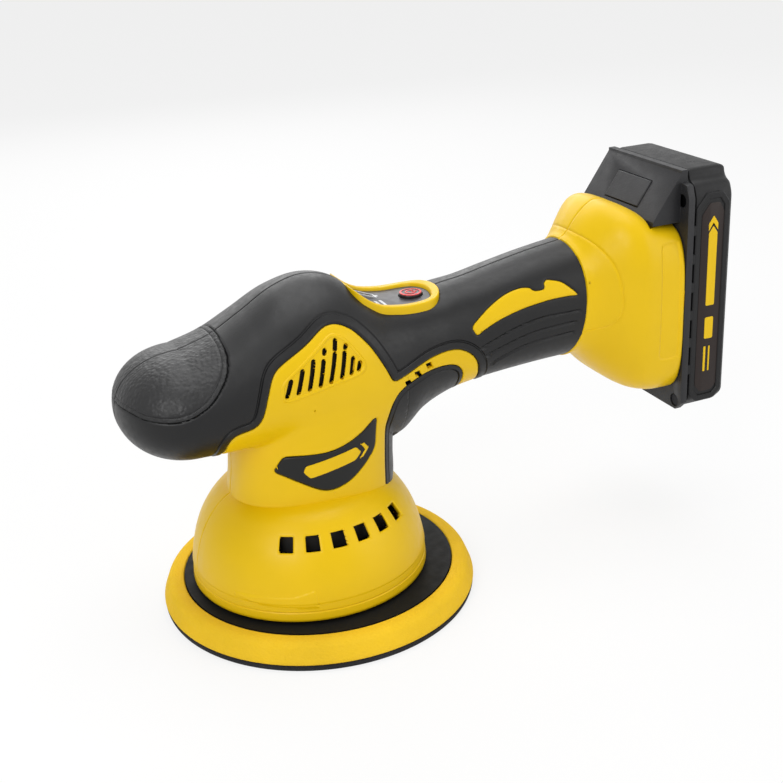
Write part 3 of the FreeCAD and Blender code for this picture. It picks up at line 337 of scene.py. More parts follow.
def off_outline(outline, u, v):
    """Distance of each place (u, v) from a closed outline, negative inside it: the nearest point
    on every side, and the sign from how many sides a ray crosses."""
    start, end = outline, np.roll(outline, -1, 0)
    side = end - start
    distance, crossed = np.full(len(u), 1e9), np.zeros(len(u), int)
    for part in np.array_split(np.arange(len(start)), max(1, len(u) * len(start) // 4000000 + 1)):
        s, e, d = start[part], end[part], side[part]
        du, dv = u[:, None] - s[:, 0], v[:, None] - s[:, 1]
        t = np.clip((du * d[:, 0] + dv * d[:, 1]) / (d**2).sum(1), 0, 1)
        distance = np.minimum(distance, np.hypot(du - t * d[:, 0], dv - t * d[:, 1]).min(1))
        rise = (s[:, 1] > v[:, None]) != (e[:, 1] > v[:, None])
        slant = s[:, 0] + (v[:, None] - s[:, 1]) * d[:, 0] / np.where(d[:, 1] == 0, 1e-9, d[:, 1])
        crossed += (rise & (u[:, None] < slant)).sum(1)
    return np.where(crossed % 2 == 1, -distance, distance)


def split(points, faces, level):
    """Cuts each triangle where the level of its corners changes sign. The new corner lies on the
    side in proportion to the two levels, so an edge or a groove runs smoothly through the mesh."""
    f = level(points)
    f = np.where(np.abs(f) < 1e-5, 1e-5, f)
    over = f[faces] > 0
    mixed = (over.sum(1) == 1) | (over.sum(1) == 2)
    cut, above = faces[mixed], over[mixed]
    odd = np.where(above.sum(1) == 1, np.argmax(above, 1), np.argmin(above, 1))
    cut = np.take_along_axis(cut, (odd[:, None] + np.arange(3)) % 3, 1)
    sides, where = np.unique(np.sort(np.vstack([cut[:, [0, 1]], cut[:, [0, 2]]]), 1), axis=0,
                             return_inverse=True)
    where = where.reshape(-1) + len(points)
    t = (f[sides[:, 0]] / (f[sides[:, 0]] - f[sides[:, 1]]))[:, None]
    fresh = points[sides[:, 0]] * (1 - t) + points[sides[:, 1]] * t
    p, q = where[:len(cut)], where[len(cut):]
    return np.vstack([points, fresh]), np.vstack([
        faces[~mixed], np.stack([cut[:, 0], p, q], 1), np.stack([p, cut[:, 1], cut[:, 2]], 1),
        np.stack([p, cut[:, 2], q], 1)])


def kept(points, faces, level):
    """The part of a mesh whose level is below zero, cut along the line where it is zero."""
    points, faces = split(points, faces, level)
    return points, faces[level(points[faces].mean(1)) < 0]


def face_normals(points, faces):
    """The cross product of two sides of each triangle."""
    first, second, third = (points[faces[:, corner]] for corner in range(3))
    return np.cross(second - first, third - first)


def outward(points, faces):
    """Unit normal at each point: the sum of its faces' normals."""
    flat = face_normals(points, faces)
    total = np.zeros_like(points)
    for corner in range(3):
        np.add.at(total, faces[:, corner], flat)
    return total / np.maximum(np.linalg.norm(total, axis=1), 1e-9)[:, None]


def relief(points, faces, level, profile):
    """Raises a mesh along its normals by a profile of (distance, height) rows over a level. The
    mesh is first cut along each row's distance, so that the relief keeps its edges."""
    rows = np.asarray(profile, float)
    for distance in rows[:, 0]:
        points, faces = split(points, faces, lambda p, d=distance: level(p) - d)
    height = np.interp(level(points), rows[:, 0], rows[:, 1])[:, None]
    return np.hstack([points[:, :3] + points[:, 3:] * height, points[:, 3:]]), faces


def skin_of(points, quads, centre):
    """A base surface as (points, triangles) that face away from the centre. Each point carries
    its place and its outward direction, so that later cuts and reliefs stay smooth."""
    faces = triangles(quads)
    inwards = (face_normals(points, faces) * (points[faces].mean(1) - centre)).sum(1) < 0
    faces = np.where(inwards[:, None], faces[:, ::-1], faces)
    direction = outward(points, faces)
    direction[np.abs(points[:, 1]) < 1e-6, 1] = 0
    return np.hstack([points, direction]), faces


def triangles(quads):
    """Each quad as two triangles."""
    return np.vstack([quads[:, [0, 1, 2]], quads[:, [0, 2, 3]]])


def joined(*meshes):
    """Several (points, faces) pairs as one."""
    start = np.cumsum([0] + [len(points) for points, _ in meshes[:-1]])
    return (np.vstack([points for points, _ in meshes]),
            np.vstack([faces + first for (_, faces), first in zip(meshes, start)]))


def mirrored(points, faces):
    """The other half: every point crosses the middle plane and every face is turned round."""
    return points * [1, -1, 1, 1, -1, 1], faces[:, ::-1]


CHEEK = smooth_outline([
    (-60, 40), (-60, 74), (-48, 79), (-43.6, 85), (-43, 91), (-42.2, 96.5), (-40, 100.4),
    (-36.5, 102.2), (-31.5, 103), (-28, 105), (-25.5, 109.5), (-23, 117.5), (-20, 125),
    (-15.4, 129.3), (-3.7, 135.3), (4, 140), (8.5, 141.4), (13, 140.8), (18.6, 137.6),
    (24.2, 131.4), (27.9, 126), (32.6, 117.6), (35.2, 112.2), (36.4, 110.3), (38.3, 109.5),
    (43.7, 110.5), (50.5, 112.9), (57, 115.1), (65, 116.3), (72.1, 115.7), (77.9, 112.6),
    (81.8, 108), (83.6, 102.5), (84.6, 97), (85, 88), (84, 80), (77, 80), (76, 88), (75.8, 99),
    (74.7, 104), (72.1, 107.2), (68.4, 109), (62.3, 109.7), (55, 109), (47.7, 106.9),
    (41.6, 104.6), (37.8, 101.5), (35.3, 96.5), (33.8, 88), (33, 78), (32.6, 66), (32.4, 54),
    (32, 40)])
# Column skin in front of this, body skin behind it.
JOIN_X = 44.5
around = np.radians(np.concatenate([np.linspace(-180, -128, 45), np.linspace(-127.5, -60, 132),
                                    np.linspace(-59, 0, 54)]))
levels = np.concatenate([np.linspace(50, 111, 66), np.linspace(111.5, 143, 66)])
turn, z = np.meshgrid(around, levels, indexing="ij")
column = column_skin(turn, z).reshape(-1, 3)
column = skin_of(column, grid_faces(len(around), len(levels)), np.array([5, 0, 95]))
tip = NOSE_START - NOSE_LENGTH
x = np.concatenate([tip + NOSE_LENGTH * (1 - np.cos(np.linspace(0, np.pi / 2, 34)[:-1])),
                    np.linspace(NOSE_START, 143, 196)])
x, turn = np.meshgrid(x, np.linspace(np.pi / 2, -np.pi / 2, 121), indexing="ij")
body = body_skin(x, turn).reshape(-1, 3)
body = skin_of(body, grid_faces(*x.shape), np.array([20, 0, 112]))


def off_side(outline):
    """A level: distance from an outline drawn in side view, negative inside it."""
    return lambda p: off_outline(outline, p[:, 0], p[:, 2])


def behind(x):
    """A level that is below zero behind a place along the tool."""
    return lambda p: x - p[:, 0]


def before(x):
    """A level that is below zero in front of a place along the tool."""
    return lambda p: p[:, 0] - x


def outside(level):
    """The same level with its two sides exchanged."""
    return lambda p: -level(p)


def seam(p):
    """Distance from the parting plane: each half's edge on it is slightly rounded."""
    return np.abs(p[:, 1])


SEAM = [(0, -0.45), (0.35, -0.12), (0.8, 0)]
EDGE = [(-1.1, 0), (-0.4, -0.14), (0, -0.5)]
VENT = smooth_outline([(-17, 120.5), (-14.4, 123.6), (-4, 130.6), (4.5, 136.4), (8.5, 138.2),
                       (12, 137), (15.4, 134.2), (20.4, 127), (22.6, 122.6), (21.8, 119.4),
                       (17.6, 117.3), (8, 115.8), (-1, 114.2), (-13, 112.4), (-16.6, 113.4),
                       (-17.6, 116.5)])
VENT_RIM = [(-1.7, 0), (-1.2, 0.42), (-0.5, 0.42), (0, 0)]
# The centre line of each air slot, from its lower end to its upper end.
SLOT_LINES = [[(-14.8, 115.4), (-12.6, 121.8)], [(-9.6, 115.9), (-7, 125.2)],
              [(-4.4, 116.5), (-1.6, 128.4)], [(0.6, 117.2), (3, 127.6)],
              [(5.6, 117.9), (8.6, 129.6)], [(10.8, 118.8), (13.2, 129.2)],
              [(15.4, 119.7), (16.8, 126)], [(19, 120.7), (19.8, 123.4)],
              [(3.9, 130.9), (4.2, 132)], [(9, 131.6), (9.8, 135)], [(13.9, 131.2), (14.2, 132)]]
SLOT_HALF = 1.05
BADGE_EDGE = smooth_outline([(-21, 77), (-19.4, 80.6), (-17.4, 83.6), (-14.5, 84.4), (-6, 84.2),
                             (1, 84.1), (7, 84.9), (13, 86.6), (20, 89.6), (27.5, 93.6), (27.3, 87),
                             (26.4, 80.6), (24.4, 77.4), (19.5, 72.6), (13, 68), (7, 65.7),
                             (2, 65.2), (-3, 66.6), (-10, 70.6), (-17, 74.6)])


def off_lines(p, lines):
    """Distance from the nearest of some open lines drawn in side view: the nearest point on
    each of their runs."""
    near = np.full(len(p), 1e9)
    for line in lines:
        for (sx, sz), (dx, dz) in zip(line[:-1], np.diff(line, axis=0)):
            t = np.clip(((p[:, 0] - sx) * dx + (p[:, 2] - sz) * dz) / (dx * dx + dz * dz), 0, 1)
            near = np.minimum(near, np.hypot(p[:, 0] - sx - t * dx, p[:, 2] - sz - t * dz))
    return near


def off_slots(p):
    """Distance from the nearest air slot: from its centre line, less its half-width."""
    return off_lines(p, SLOT_LINES) - SLOT_HALF


off_cheek, off_vent, off_badge = off_side(CHEEK), off_side(VENT), off_side(BADGE_EDGE)


def edged(mesh, level, profile=EDGE):
    """Keeps what lies inside a level and rounds it down at its border."""
    return relief(*kept(*mesh, level), level, profile)


yellow = finish("signal_yellow", (231, 190, 4), 0.38, grain=1500, depth=0.12, mottle=0.03,
                shine=0.26)
cheek = kept(*column, before(JOIN_X))
strip = kept(*kept(*body, behind(JOIN_X)), before(100))
shell = joined(edged(cheek, off_cheek), edged(strip, off_cheek))
shell = relief(*shell, off_vent, VENT_RIM)
shell = edged(shell, outside(off_slots), [(-0.6, 0), (0, -0.25)])
shell = edged(shell, outside(off_badge))
STRIP_VENTS = np.array([(44.6, 106.4), (50, 109.4), (56.2, 111.9)])
VENT_HALF = 1.5


def along_strip(p, cx, cz):
    return (p[:, 0] - cx) * 0.93 + (p[:, 2] - cz) * 0.37


def up_strip(p, cx, cz):
    return (p[:, 2] - cz) * 0.93 - (p[:, 0] - cx) * 0.1


def off_strip_vents(p):
    """Distance from the three square holes of the hook strip, taken along both of their axes."""
    near = np.full(len(p), 1e9)
    for place in STRIP_VENTS:
        near = np.minimum(near, np.maximum(np.abs(along_strip(p, *place)) - VENT_HALF,
                                           np.abs(up_strip(p, *place)) - VENT_HALF))
    return near


for place in STRIP_VENTS:
    for shift in (-VENT_HALF, VENT_HALF):
        shell = split(*shell, lambda p: along_strip(p, *place) - shift)
        shell = split(*shell, lambda p: up_strip(p, *place) - shift)
shell = kept(*shell, outside(off_strip_vents))
shell = relief(*shell, seam, SEAM)

# The bell under the column: a turned form with six outlet windows a side, two
# shallow rings near its rim and a raised arrow for the pad's turning direction.
down = [0, 0.1, 0.2, 0.32, 0.45, 0.6, 0.75, 0.88, 1.0]
angle, share = np.meshgrid(np.linspace(-np.pi, 0, 281), np.linspace(0, 1, 70), indexing="ij")
radius = smooth_table(share, down, [30, 36, 39.6, 43.2, 46.6, 50.4, 53.4, 55.2, 56])
height = smooth_table(share, down, [60.6, 58.6, 56.4, 52.9, 48.6, 41.8, 33, 24, 14.8])
bell = np.stack([radius * np.cos(angle), radius * np.sin(angle), height], -1).reshape(-1, 3)
bell = skin_of(bell, grid_faces(*angle.shape), np.array([0, 0, 35]))


WINDOWS, WINDOW_STEP, WINDOW_MIDDLE, WINDOW_RADIUS = 6, 14.4, 84, 47
ARROW = np.array([(101, 21), (128, 22.5), (141, 24.5), (141, 26.2), (128, 26.4), (112, 26.8),
                  (102, 29.5)])
ARROW_RADIUS = 55


def off_windows(p):
    """Distance from the nearest outlet window, along the ring and up the wall."""
    along = np.degrees(np.arctan2(-p[:, 1], p[:, 0]))
    step = (along - WINDOW_MIDDLE) / WINDOW_STEP + (WINDOWS - 1) / 2
    near = np.abs(step - np.clip(np.round(step), 0, WINDOWS - 1))
    near = near * np.radians(WINDOW_STEP) * WINDOW_RADIUS
    return np.maximum(near - 3.1, np.abs(p[:, 2] - 48.6) - 3.0)


def off_arrow(p):
    """Distance from the turning arrow, drawn on the unrolled wall: length is angle times radius."""
    along = np.degrees(np.arctan2(-p[:, 1], p[:, 0])) * np.pi / 180 * ARROW_RADIUS
    return off_outline(ARROW, along, p[:, 2])


bell = relief(*bell, lambda p: p[:, 2], [(18.6, 0), (19.1, -0.35), (19.6, 0), (22.8, 0),
                                         (23.4, 0.35)])
bell = relief(*bell, off_arrow, [(-0.5, 0.3), (0, 0)])
bell = edged(bell, outside(off_windows), [(-0.7, 0), (0, -0.35)])
bell = relief(*bell, seam, SEAM)

# The battery foot: the tail of the shell flares from the collar to a square
# end that carries the slide channel; its top is stepped for the battery.


def foot_section(x):
    """Top, bottom, half-width and corner power of the foot at x."""
    at = [134, 141, 145, 149, 156, 164, 172, 184.5]
    return [smooth_table(x, at, rows) for rows in (
        [151.8, 154.2, 159.5, 164, 168.6, 167.4, 163, 160],
        [94.2, 94.6, 91.8, 88, 81.5, 76, 73.5, 73],
        [23.8, 24.6, 26.2, 28.8, 33.6, 36.9, 37.5, 37.5],
        [2.3, 2.4, 2.5, 2.7, 3.2, 3.8, 4.2, 4.4])]


def off_foot(p, wall):
    """Below zero inside the foot's section drawn in by a wall: the superellipse equation."""
    top, bottom, half, power = foot_section(p[:, 0])
    tall = (top - bottom) / 2 - wall
    return ((np.abs(p[:, 1]) / (half - wall)) ** power
            + (np.abs(p[:, 2] - (top + bottom) / 2) / tall) ** power) - 1


def off_collar(p):
    """Distance behind the collar's bowed front edge, negative on the foot's side."""
    return 139.3 - 0.004 * (p[:, 2] - 132) ** 2 - p[:, 0]


x, turn = np.meshgrid(np.linspace(134, 184.5, 60), np.linspace(np.pi / 2, -np.pi / 2, 141),
                      indexing="ij")
top, bottom, half, power = foot_section(x)
foot = np.stack([x, -half * np.abs(np.cos(turn)) ** (2 / power),
                 (top + bottom) / 2 + np.sign(turn) * np.abs(np.sin(turn)) ** (2 / power)
                 * (top - bottom) / 2], -1).reshape(-1, 3)
foot = skin_of(foot, grid_faces(*x.shape), np.array([165, 0, 118]))
SIDE_PANEL = smooth_outline([(171.6, 97), (171.6, 110), (171.6, 135), (172.4, 150), (176, 152),
                             (182.4, 152), (183, 149), (183, 120), (183, 97), (182.4, 94.6),
                             (176, 94.2), (172.4, 95)])
COLLAR_ARC = smooth_outline([(141, 157), (147, 151), (151.6, 142), (153.6, 132), (153.8, 122),
                             (151, 116), (146, 113), (140, 112), (134, 112), (134, 160)])
foot = kept(*foot, lambda p: np.minimum(p[:, 2] - 159, p[:, 0] - 169.2))
foot = edged(foot, off_collar, [(-1.6, 0), (-0.6, -0.2), (0, -0.9)])
foot = relief(*foot, off_side(SIDE_PANEL), [(-0.9, -0.6), (-0.3, -0.2), (0.3, 0)])
foot = relief(*foot, off_side(COLLAR_ARC), [(-0.7, 0), (0, -0.35), (0.7, 0)])
foot = relief(*foot, seam, SEAM)

SCREWS = np.array([(-62, 100), (-45, 122), (46, 88), (82, 130), (84, 102), (137, 106), (156, 146),
                   (156, 94)])
WELL_RADIUS = 3.4


def off_screws(p):
    """Distance from the nearest screw well, seen from the side."""
    return np.hypot(p[:, :1] - SCREWS[:, 0], p[:, 2:3] - SCREWS[:, 1]).min(1) - WELL_RADIUS


def both_sides(mesh):
    """The left piece as built, and the right one mirrored with its screw wells cut through."""
    drilled = edged(mesh, outside(off_screws), [(-0.5, 0), (0, -0.3)])
    return {"left": mesh, "right": mirrored(*drilled)}


for word, half_shell in both_sides(shell).items():
    piece(f"housing_shell_{word}", *half_shell, yellow, "housing", "yellow_plastic",
          [f"housing_{word}"], wall=2.2)
for word, half_foot in both_sides(foot).items():
    piece(f"foot_shell_{word}", *half_foot, yellow, "housing", "yellow_plastic", wall=2.6)
for word, half_bell in {"left": bell, "right": mirrored(*bell)}.items():
    piece(f"bell_shell_{word}", *half_bell, yellow, "housing", "yellow_plastic", wall=2.4)

# The slide channel and its rails, inside the foot: taken from the built halves,
# cut back to what lies behind the foot's own wall.
for word in ("left", "right"):
    source = frame["nodes"][f"housing_{word}"].data
    points = np.zeros(len(source.vertices) * 3)
    source.vertices.foreach_get("co", points)
    source.calc_loop_triangles()
    faces = np.zeros(len(source.loop_triangles) * 3, int)
    source.loop_triangles.foreach_get("vertices", faces)
    guide = kept(points.reshape(-1, 3) * 1000, faces.reshape(-1, 3), behind(166))
    guide = kept(*guide, lambda p: off_foot(p, 2.9))
    piece(f"slide_channel_{word}", *guide, yellow, "housing", "yellow_plastic", wall=0.01)

# Screw wells of the right half: plain tubes from the seats to just under the skin. The foot
# is taken as a superellipse about its own middle height.
FOOT_START, FOOT_MIDDLE, FOOT_REACH, SEAT_DEPTH, BELOW_SKIN = 141, 120, 44, 12, 1.2
for cx, cz in SCREWS:
    sides = np.linspace(0, 2 * np.pi, 40, endpoint=False)[:, None]
    if cx > FOOT_START:
        wide = float(foot_section(np.array(cx + 0.0))[2])
        wide *= (1 - (abs(cz - FOOT_MIDDLE) / FOOT_REACH) ** 3) ** 0.33
    else:
        wide = float(body_half(np.array(cx + 0.0), cz))
    surface = wide - BELOW_SKIN
    rim = np.array([(3.3, SEAT_DEPTH), (4.1, SEAT_DEPTH), (4.1, surface), (3.3, surface)])
    tube = np.stack([cx + rim[:, 0] * np.cos(sides), rim[:, 1] + 0 * sides,
                     cz + rim[:, 0] * np.sin(sides)], -1).reshape(-1, 3)
    place = f"{abs(int(cx))}_{int(cz)}"
    piece(f"screw_well_{place}", tube, grid_faces(40, 4, True, True), plate_black, "housing",
          "dark_plastic")

# ----------------------------------------------------- painted shade behind the vents
# Near-black sheets right behind the outlet windows, the cheek slots and the hook
# strip's holes: painted shade that stands for the dark inside seen through them.
vent_shade = finish("vent_shade_black", (16, 16, 17), 0.6, grain=1200, depth=0.1, mottle=0.1)
# A near-black ring just inside the bell, behind the six windows: painted shade.
piece("window_shade_ring", *turned([(40.2, 44), (42.2, 42), (40.4, 53), (38.6, 53)]), vent_shade, "housing",
      "dark_plastic")


def sunk(mesh, depth):
    """A skin moved inwards by a depth."""
    points, faces = mesh
    return np.hstack([points[:, :3] - points[:, 3:] * depth, points[:, 3:]]), faces


# Near-black sheets sunk just inside the shell, behind the cheek slots and the strip's holes:
# painted shade.
backing = kept(*column, lambda p: np.maximum(off_vent(p) + 1.2, p[:, 0] - 40))
backing = sunk(backing, 2.8)
strip_shade = kept(*kept(*body, behind(40)), lambda p: off_strip_vents(p) - 1.5)
strip_shade = sunk(strip_shade, 2.6)
for word, (points, faces) in {"left": joined(backing, strip_shade),
                              "right": mirrored(*joined(backing, strip_shade))}.items():
    piece(f"slot_shade_sheet_{word}", points, faces, vent_shade, "housing", "dark_plastic", wall=0.5)

# -------------------------------------------------------- black rubber overmould
# Soft TPE shot over the shell: a smooth nose and crown, a rim round each cheek,
# and a grip with curved finger grooves. It follows the body's own surface.
rubber = finish("soft_black_rubber", (17, 17, 18), 0.4, grain=1900, depth=0.2, mottle=0.06,
                shine=0.34)
NOSE = smooth_outline([(-120, 114.6), (-84, 115.2), (-79, 115.2), (-74.4, 113.7), (-66, 113),
                       (-57.4, 113.9), (-48.5, 117.7), (-42, 123.6), (-38.4, 128), (-36, 133),
                       (-35, 138), (-34.6, 144), (-34.6, 160), (-120, 160)])
THROAT = np.array([(20, 40), (20, 90), (36, 106), (76, 112), (76, 99), (76.2, 88), (77, 80),
                   (77, 40)])
CRESCENT = smooth_outline([(80.3, 125), (81, 122.2), (82.6, 120.6), (86.3, 122.4), (93.5, 125.4),
                           (101.6, 127.7), (109.8, 129.4), (121.4, 130.8), (130, 131), (134.8, 131),
                           (131.2, 134.9), (127.2, 137.9), (123, 139.2), (120.4, 139.6),
                           (118.9, 138.4), (118.3, 136), (114.3, 135.7), (112.4, 136.3),
                           (110.9, 137.5), (106, 137.8), (99, 136.3), (91.5, 133),
                           (84.9, 128.8)], 6)
BEZEL = smooth_outline([(24.4, 0), (24.6, -8), (25.4, -13.6), (28, -16.6), (33, -17.2), (46, -17.2),
                        (57, -17), (63, -15.8), (67.6, -12.4), (70.4, -6.6), (71.3, 0), (70.4, 6.6),
                        (67.6, 12.4), (63, 15.8), (57, 17), (46, 17.2), (33, 17.2), (28, 16.6),
                        (25.4, 13.6), (24.6, 8)])


off_nose, off_crescent, off_throat = off_side(NOSE), off_side(CRESCENT), off_side(THROAT)


def off_bezel(p):
    """Distance from the panel's outline in plan, for the crown only."""
    return np.where(p[:, 2] > 120, off_outline(BEZEL, p[:, 0], p[:, 1]), 50)


GROOVES = [smooth_outline(line)[:-4] for line in (
    [(86.7, 113.6), (93, 116.8), (103.5, 120.3), (116, 122.6), (127, 122.8), (134, 122)],
    [(88.7, 109), (98, 112.6), (109.4, 115.6), (121, 116.9), (133, 116.8)],
    [(91.4, 103.6), (101.7, 108.6), (112, 110.8), (122, 111.6), (132, 111.6)])]


skin = kept(*body, outside(off_cheek))
skin = kept(*skin, outside(off_throat))
skin = edged(skin, outside(off_crescent))
skin = kept(*skin, outside(off_bezel))
skin = kept(*skin, lambda p: -off_collar(p) - 1.5)
skin = relief(*skin, lambda p: off_lines(p, GROOVES), [(0, -0.8), (0.5, -0.55), (1.1, 0)])
skin = relief(*skin, off_cheek, [(0, -0.5), (0.5, 0.0), (1.2, 0.3), (3.5, 0.3), (3.9, -0.45),
                                 (4.3, -0.45), (4.8, 0)])
grip = edged(skin, off_nose, [(-2.6, 0.1), (-2.1, -0.22), (-1.6, 0.1), (-0.5, 0.1), (0, -0.45)])
skin = edged(skin, outside(off_nose), [(-0.8, 0), (0, -0.45)])
skin = relief(*skin, seam, SEAM)
for word, half_skin in both_sides(skin).items():
    piece(f"grip_rubber_{word}", *half_skin, rubber, "housing", "black_rubber",
          [f"overmould_{word}"], wall=1.5)

# -------------------------------------------------------------- nose grip caps
# The palm rests here: the same rubber with a leather-grain texture from the
# mould, inside a double line.
leather = finish("leather_grain_rubber", (22, 22, 23), 0.46, grain=1300, depth=0.35, mottle=0.1,
                 cells=620, cell_depth=0.5, shine=0.4)
grip = relief(*grip, seam, SEAM)
for word, half_grip in both_sides(grip).items():
    piece(f"nose_grip_cap_{word}", *half_grip, leather, "housing", "black_rubber",
          [f"nose_grip_{word}"], wall=1.5)

# --------------------------------------------------------------- throat trims
# A harder black insert under the hook strip, down the back of the column.
throat = joined(kept(*kept(*column, before(JOIN_X)), outside(off_cheek)),
                kept(*kept(*body, behind(JOIN_X)), outside(off_cheek)))
throat = kept(*throat, off_throat)
throat = relief(*throat, off_cheek, [(0, -0.5), (0.5, 0), (1.9, 0.1), (2.3, -0.45), (2.8, 0)])
throat = relief(*throat, seam, SEAM)
for word, half_throat in both_sides(throat).items():
    piece(f"throat_insert_{word}", *half_throat, rubber, "housing", "black_rubber",
          [f"throat_trim_{word}"], wall=1.5)

# --------------------------------------------------------- crescents and badges
# Yellow crescents of the shell that show through the grip, and black plates on
# the column that carry a plain yellow bar and chevron instead of a name.
crescent = relief(*edged(kept(*body, behind(70)), off_crescent), off_crescent, [(-0.4, 0), (0, 0)])
badge = edged(kept(*column, before(JOIN_X)), off_badge, [(-0.8, 0.2), (0, -0.35)])
BAR = rounded([(-9.4, 76.4), (-8.2, 79.3), (15.6, 83.6), (18, 80.4), (14.9, 77.2), (-6.6, 73)], 1)
CHEVRON = np.array([(17.2, 77.4), (18.9, 77.7), (22.2, 81.3), (19.8, 84.4), (18.1, 84.1),
                    (20.2, 81)])
dark = finish("badge_black", (20, 21, 21), 0.34, grain=1200, depth=0.1, mottle=0.06)
bars = []
for off_bar in (off_side(BAR), off_side(CHEVRON)):
    bar = kept(*column, lambda p: np.maximum(off_bar(p), before(40)(p)))
    bars.append(relief(*bar, off_bar, [(-0.3, 0.55), (0, 0.3)]))
for word, turn_over in {"left": lambda *m: m, "right": mirrored}.items():
    piece(f"grip_crescent_{word}", *turn_over(*crescent), yellow, "housing", "yellow_plastic",
          wall=1.5)
    piece(f"badge_plate_{word}", *turn_over(*badge), dark, "housing", "badge_plastic",
          [f"badge_{word}"], wall=1.2)
    piece(f"badge_bar_{word}", *turn_over(*joined(*bars)), yellow, "housing", "yellow_plastic",
          wall=0.4)

# --------------------------------------------------------------- control panel
# A yellow bezel clipped into the crown frames a smoked window with a level
# gauge; the power button is a round key with a lit red ring.


def panel_top(x):
    """Height of the panel's surface: it follows the crown's dip, level from side to side."""
    return smooth_table(x, [20, 25, 28, 31, 36, 46, 57, 66, 72, 80],
                        [153.6, 150.2, 147.6, 145, 141.6, 139, 138.5, 139.3, 140.9, 142.4]) - 0.2


centre = np.array([47.0, 0.0])
edge = BEZEL - centre
length = np.linalg.norm(edge, axis=1)
inward_edge = np.roll(edge, 1, 0) - np.roll(edge, -1, 0)
inward_edge = np.stack([-inward_edge[:, 1], inward_edge[:, 0]], 1)
inward_edge /= np.linalg.norm(inward_edge, axis=1)[:, None]
inward_edge *= -np.sign((inward_edge * edge).sum(1))[:, None]
section = rounded([(-0.1, -5), (-0.1, 0.9), (3.5, 0.9), (4.1, -1.4), (4.1, -5)], 0.8)
ring_xy = BEZEL[:, None] + inward_edge[:, None] * section[None, :, :1]
ring_points = np.concatenate([ring_xy, panel_top(ring_xy[..., :1]) + section[None, :, 1:]], -1)
piece("panel_bezel", ring_points.reshape(-1, 3), grid_faces(len(BEZEL), len(section), True, True),
      yellow, "housing", "yellow_plastic", ["control_bezel"])

smoked = finish("smoked_window", (58, 58, 62), 0.34, grain=900, depth=0.02, mottle=0.04,
                shine=0.25)
window_edge = BEZEL + inward_edge * 4.2
share = np.linspace(0, 1, 60)[None, :, None]
window_xy = centre + (window_edge - centre)[:, None] * share
window_points = np.concatenate([window_xy, panel_top(window_xy[..., :1]) - 0.5], -1)
button_x = 59.2


def off_button(p):
    return np.hypot(p[:, 0] - button_x, p[:, 1]) - 5.7


window = skin_of(window_points.reshape(-1, 3), grid_faces(len(BEZEL), 60, True),
                 np.array([47, 0, 60]))
window = kept(*window, outside(off_button))
piece("panel_window", *window, smoked, "housing", "panel_film", ["control_panel"], wall=1.2)

# Gauge marks: four rising bars and a small outline of a battery, printed in
# white ink and slightly proud.
ink = finish("white_ink", (214, 216, 220), 0.4, grain=1200, depth=0.05, mottle=0.03)
marks = [rounded([(x, y), (x + 1.5, y), (x + 1.5, y + tall), (x, y + tall)], 0.4, 3)
         for x, y, tall in ((33, -9.5, 3), (36, -9.5, 4.4), (39, -9.5, 5.8), (42, -9.5, 7.2))]
marks += [rounded([(33, 2), (43.5, 2), (43.5, 2.8), (33, 2.8)], 0.2, 3),
          rounded([(33, 7.2), (43.5, 7.2), (43.5, 8), (33, 8)], 0.2, 3),
          rounded([(33, 2.4), (33.8, 2.4), (33.8, 7.6), (33, 7.6)], 0.2, 3),
          rounded([(42.7, 2.4), (43.5, 2.4), (43.5, 7.6), (42.7, 7.6)], 0.2, 3),
          rounded([(43.4, 4), (44.7, 4), (44.7, 6), (43.4, 6)], 0.2, 3)]
prints = []
for outline in marks:
    layers = [np.column_stack([outline, panel_top(outline[:, 0]) - 0.5 + lift])
              for lift in (-0.3, 0.06)]
    count = len(outline)
    points = np.vstack(layers + [layers[0].mean(0)[None], layers[1].mean(0)[None]])
    i = np.arange(count)
    after = (i + 1) % count
    prints.append((points, np.vstack([
        np.stack([i, after, after + count], 1), np.stack([i, after + count, i + count], 1),
        np.stack([after, i, 0 * i + 2 * count], 1),
        np.stack([i + count, after + count, 0 * i + 2 * count + 1], 1)])))
piece("gauge_marks", *joined(*prints), ink, "housing", "panel_film")

# ----------------------------------------------------------------- power button
# A round dark key, sprung down through the window, with a ring and a broken
# circle that are lit red from below.
key_z = float(panel_top(np.array(button_x)))
glow = finish("lit_red", (226, 44, 48), 0.3, grain=1200, depth=0.03, mottle=0.04)
key_black = finish("key_black", (44, 40, 42), 0.3, grain=1200, depth=0.05, mottle=0.05)


def around_button(profile, sides=64):
    points, faces = turned(profile, button_x, sides)
    return points + [0, 0, key_z], faces


piece("power_key", *around_button(rounded([(0.01, -3), (5.4, -3), (5.4, 0.5), (4.9, 0.9),
                                           (0.01, 1.0)], 0.5)), key_black, "power_button",
      "red_plastic", ["power_button"])
piece("power_key_ring", *around_button([(4.2, 0.8), (5.1, 0.6), (5.1, 1.02), (4.2, 1.12)]), glow,
      "power_button", "red_plastic")
arc = np.radians(np.linspace(35, 325, 40))
tube = np.radians(np.linspace(0, 360, 8, endpoint=False))
arc_points = np.stack([
    button_x + (2.2 + 0.42 * np.cos(tube)[None]) * np.cos(arc)[:, None],
    (2.2 + 0.42 * np.cos(tube)[None]) * np.sin(arc)[:, None],
    key_z + 1.0 + 0.2 * np.sin(tube)[None] + 0 * arc[:, None]], -1)
bar_points = np.stack([button_x + np.linspace(0.4, 3.2, 2)[:, None] + 0 * tube[None],
                       0.42 * np.cos(tube)[None] + 0 * np.zeros((2, 1)),
                       key_z + 1.0 + 0.2 * np.sin(tube)[None] + np.zeros((2, 1))], -1)
piece("power_key_mark", *joined((arc_points.reshape(-1, 3), grid_faces(40, 8, False, True)),
                                (bar_points.reshape(-1, 3), grid_faces(2, 8, False, True))), glow,
      "power_button", "red_plastic")

